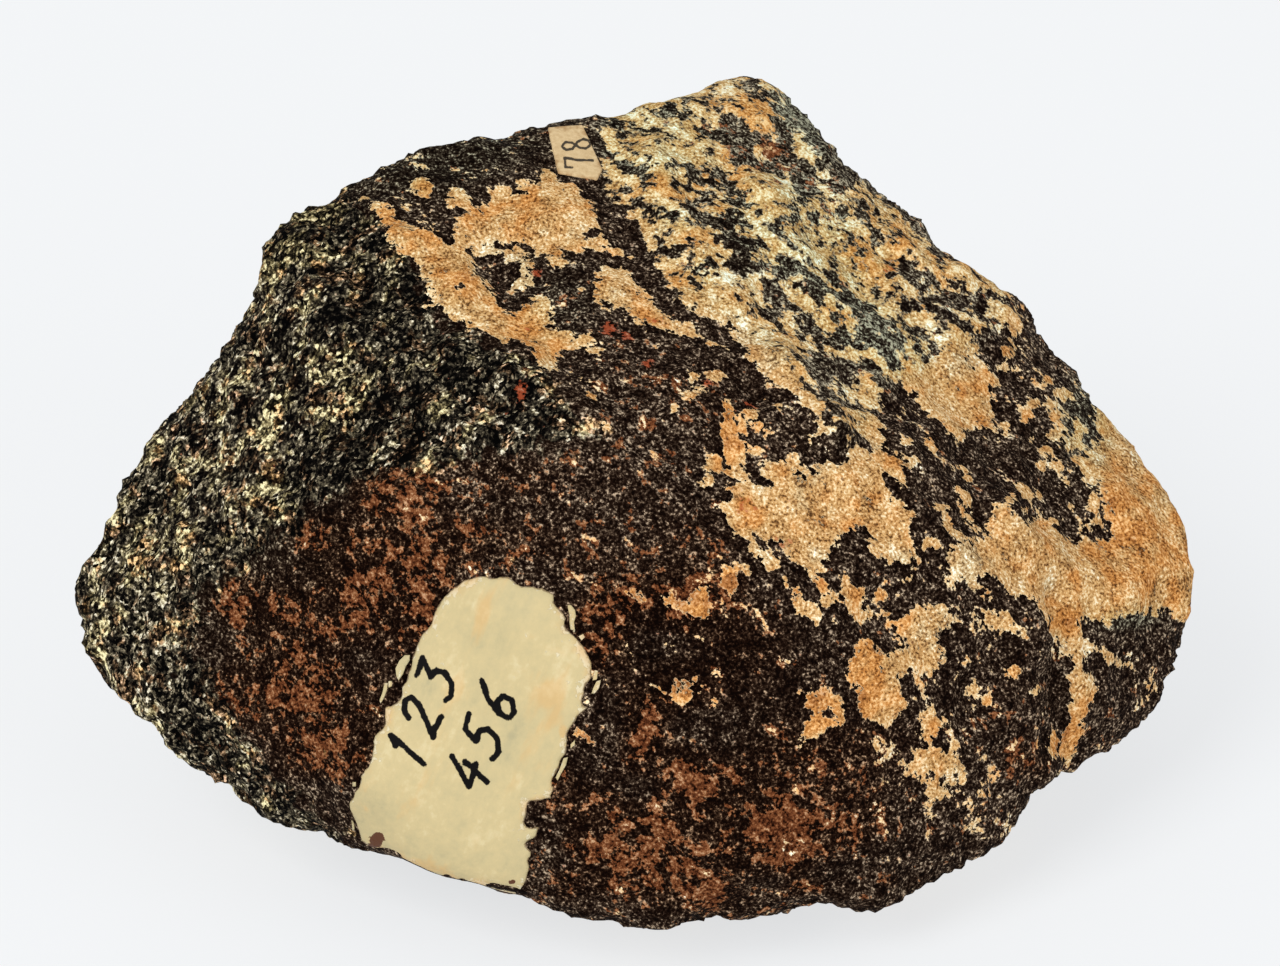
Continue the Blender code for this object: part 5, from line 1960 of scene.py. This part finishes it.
# How both rows of the pen's figures are set.
PEN_ROW = {"run": (14.5, -36.5), "rise": (-35.5, -27.5), "box": (15.4, -43.5)}
NUMBER_PATCH = StoneSkin(
    "painted_patch", "number_patch", "cream_enamel", PATCH_OUTLINE,
    [
        Lettering("123", PEN_NUMERALS, foot=(421.0, 777.0), **PEN_ROW),
        Lettering("456", PEN_NUMERALS, foot=(482.0, 798.0), **PEN_ROW),
    ],
    cell=0.2, thickness=0.2, rounding=0.3, ragged=0.22, smoothing=14,
    flakes=PATCH_FLAKES,
    bare=blots((378, 838, 6, 6, 0, 1.4), (373, 846, 7, 3, -20, 1.2), (513, 881, 3, 2, 0, 1.6)),
    stains=blots(
        (482, 622, 9, 30, 5, 1.0), (545, 690, 34, 16, 60, 0.9), (420, 868, 60, 12, 12, 0.8),
        (564, 731, 4, 6, 0, 1.8),
    ),
)
PAPER_TAG = StoneSkin(
    "printed_tag", "paper_tag", "aged_paper", TAG_OUTLINE,
    [
        Lettering("78", PRINT_NUMERALS, foot=(594.0, 167.0), run=(-2.0, -16.5), rise=(-30.0, 3.5),
                  box=(-3.0, -22.0)),
    ],
    cell=0.1, thickness=0.14, rounding=0.08, ragged=0.02, smoothing=20,
)


@dataclass(frozen=True)
class Lamp:
    """A square soft light that faces the specimen.

    Attributes:
        name: Its name.
        place: Where it is, in metres.
        size: Its width in metres.
        power: Its power in watts.
        aim: The place that it faces.
    """

    name: str
    place: tuple[float, float, float]
    size: float
    power: float
    aim: tuple[float, float, float] = (0.0, 0.0, 0.02)

    def build(self) -> None:
        """Builds the light."""
        light = bpy.data.lights.new(self.name, "AREA")
        light.size = self.size
        light.energy = self.power
        lamp = bpy.data.objects.new(self.name, light)
        bpy.context.scene.collection.objects.link(lamp)
        lamp.location = self.place
        lamp.rotation_euler = (Vector(self.aim) - Vector(self.place)).to_track_quat("-Z", "Y").to_euler()


@dataclass
class Studio:
    """A plain pale floor, soft light, and the camera at the show view.

    Attributes:
        floor_size: The floor's width in metres.
        floor_colour: Its colour.
        floor_roughness: How rough it is.
        floor_gloss: How brightly it glints.
        glow_colour: The colour of the light that it gives, as a light table does.
        floor_glow: How bright that light is.
        sky_colour: The colour of the even light from all round.
        sky: How bright that light is.
        lamps: The lights.
        sensor: The camera's sensor width in millimetres.
    """

    floor_size: float = 8.0
    floor_colour: Colour = (0.20, 0.203, 0.206)
    floor_roughness: float = 0.9
    floor_gloss: float = 0.1
    glow_colour: Colour = (0.97, 0.985, 1.0)
    floor_glow: float = 0.713
    sky_colour: Colour = (0.96, 0.98, 1.0)
    sky: float = 0.62
    lamps: tuple[Lamp, ...] = (
        Lamp("key_light", (-0.75, -0.95, 1.15), size=0.9, power=17.0),
        Lamp("fill_light", (1.0, -0.9, 0.55), size=1.0, power=6.0),
    )
    sensor: float = 36.0

    def build(self) -> None:
        """Builds the floor, the lights and the camera."""
        scene = bpy.context.scene
        scene.view_settings.view_transform = "Standard"
        self._floor()
        world = bpy.data.worlds.new("studio_light")
        world.use_nodes = True
        background = world.node_tree.nodes["Background"]
        background.inputs["Color"].default_value = (*self.sky_colour, 1.0)
        background.inputs["Strength"].default_value = self.sky
        scene.world = world
        for lamp in self.lamps:
            lamp.build()
        self._camera(scene)

    def _floor(self) -> None:
        """The floor, which isn't part of the specimen."""
        bm = bmesh.new()
        bmesh.ops.create_grid(bm, x_segments=1, y_segments=1, size=self.floor_size / 2)
        mesh = bpy.data.meshes.new("studio_floor")
        bm.to_mesh(mesh)
        bm.free()
        material = Surface("pale_floor").end(
            Base_Color=(*self.floor_colour, 1.0), Roughness=self.floor_roughness,
            Specular_IOR_Level=self.floor_gloss, Emission_Color=(*self.glow_colour, 1.0),
            Emission_Strength=self.floor_glow,
        )
        new_piece("studio_floor", mesh, material)

    def _camera(self, scene: bpy.types.Scene) -> None:
        """The camera, set so that its picture is the show view.

        Args:
            scene: The scene that is seen.
        """
        lens = bpy.data.cameras.new("show_camera")
        lens.sensor_width = self.sensor
        lens.sensor_fit = "HORIZONTAL"
        lens.lens = self.sensor * SHOW.distance / (SHOW.frame[0] * SHOW.pixel)
        camera = bpy.data.objects.new("show_camera", lens)
        scene.collection.objects.link(camera)
        camera.location = SHOW.eye()
        across, up, into = (Vector(axis) for axis in SHOW.axes())
        camera.rotation_euler = Matrix((across, up, -into)).transposed().to_euler()
        scene.camera = camera


def main() -> None:
    """Builds the specimen's pieces, the studio and the camera."""
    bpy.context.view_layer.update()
    effects = SharedEffects.build()
    stone = EmeryStone().build(StoneFinish().build(effects))
    patch = NUMBER_PATCH.build(stone, EnamelFinish().build(effects))
    tag = PAPER_TAG.build(stone, PaperFinish().build(effects))
    for piece in (stone, patch, tag):
        LOG.info("%s: %d faces", piece.name, len(piece.data.polygons))
    Studio().build()


if __name__ == "__main__":
    logging.basicConfig(level=logging.INFO, format="%(name)s %(message)s")
    main()
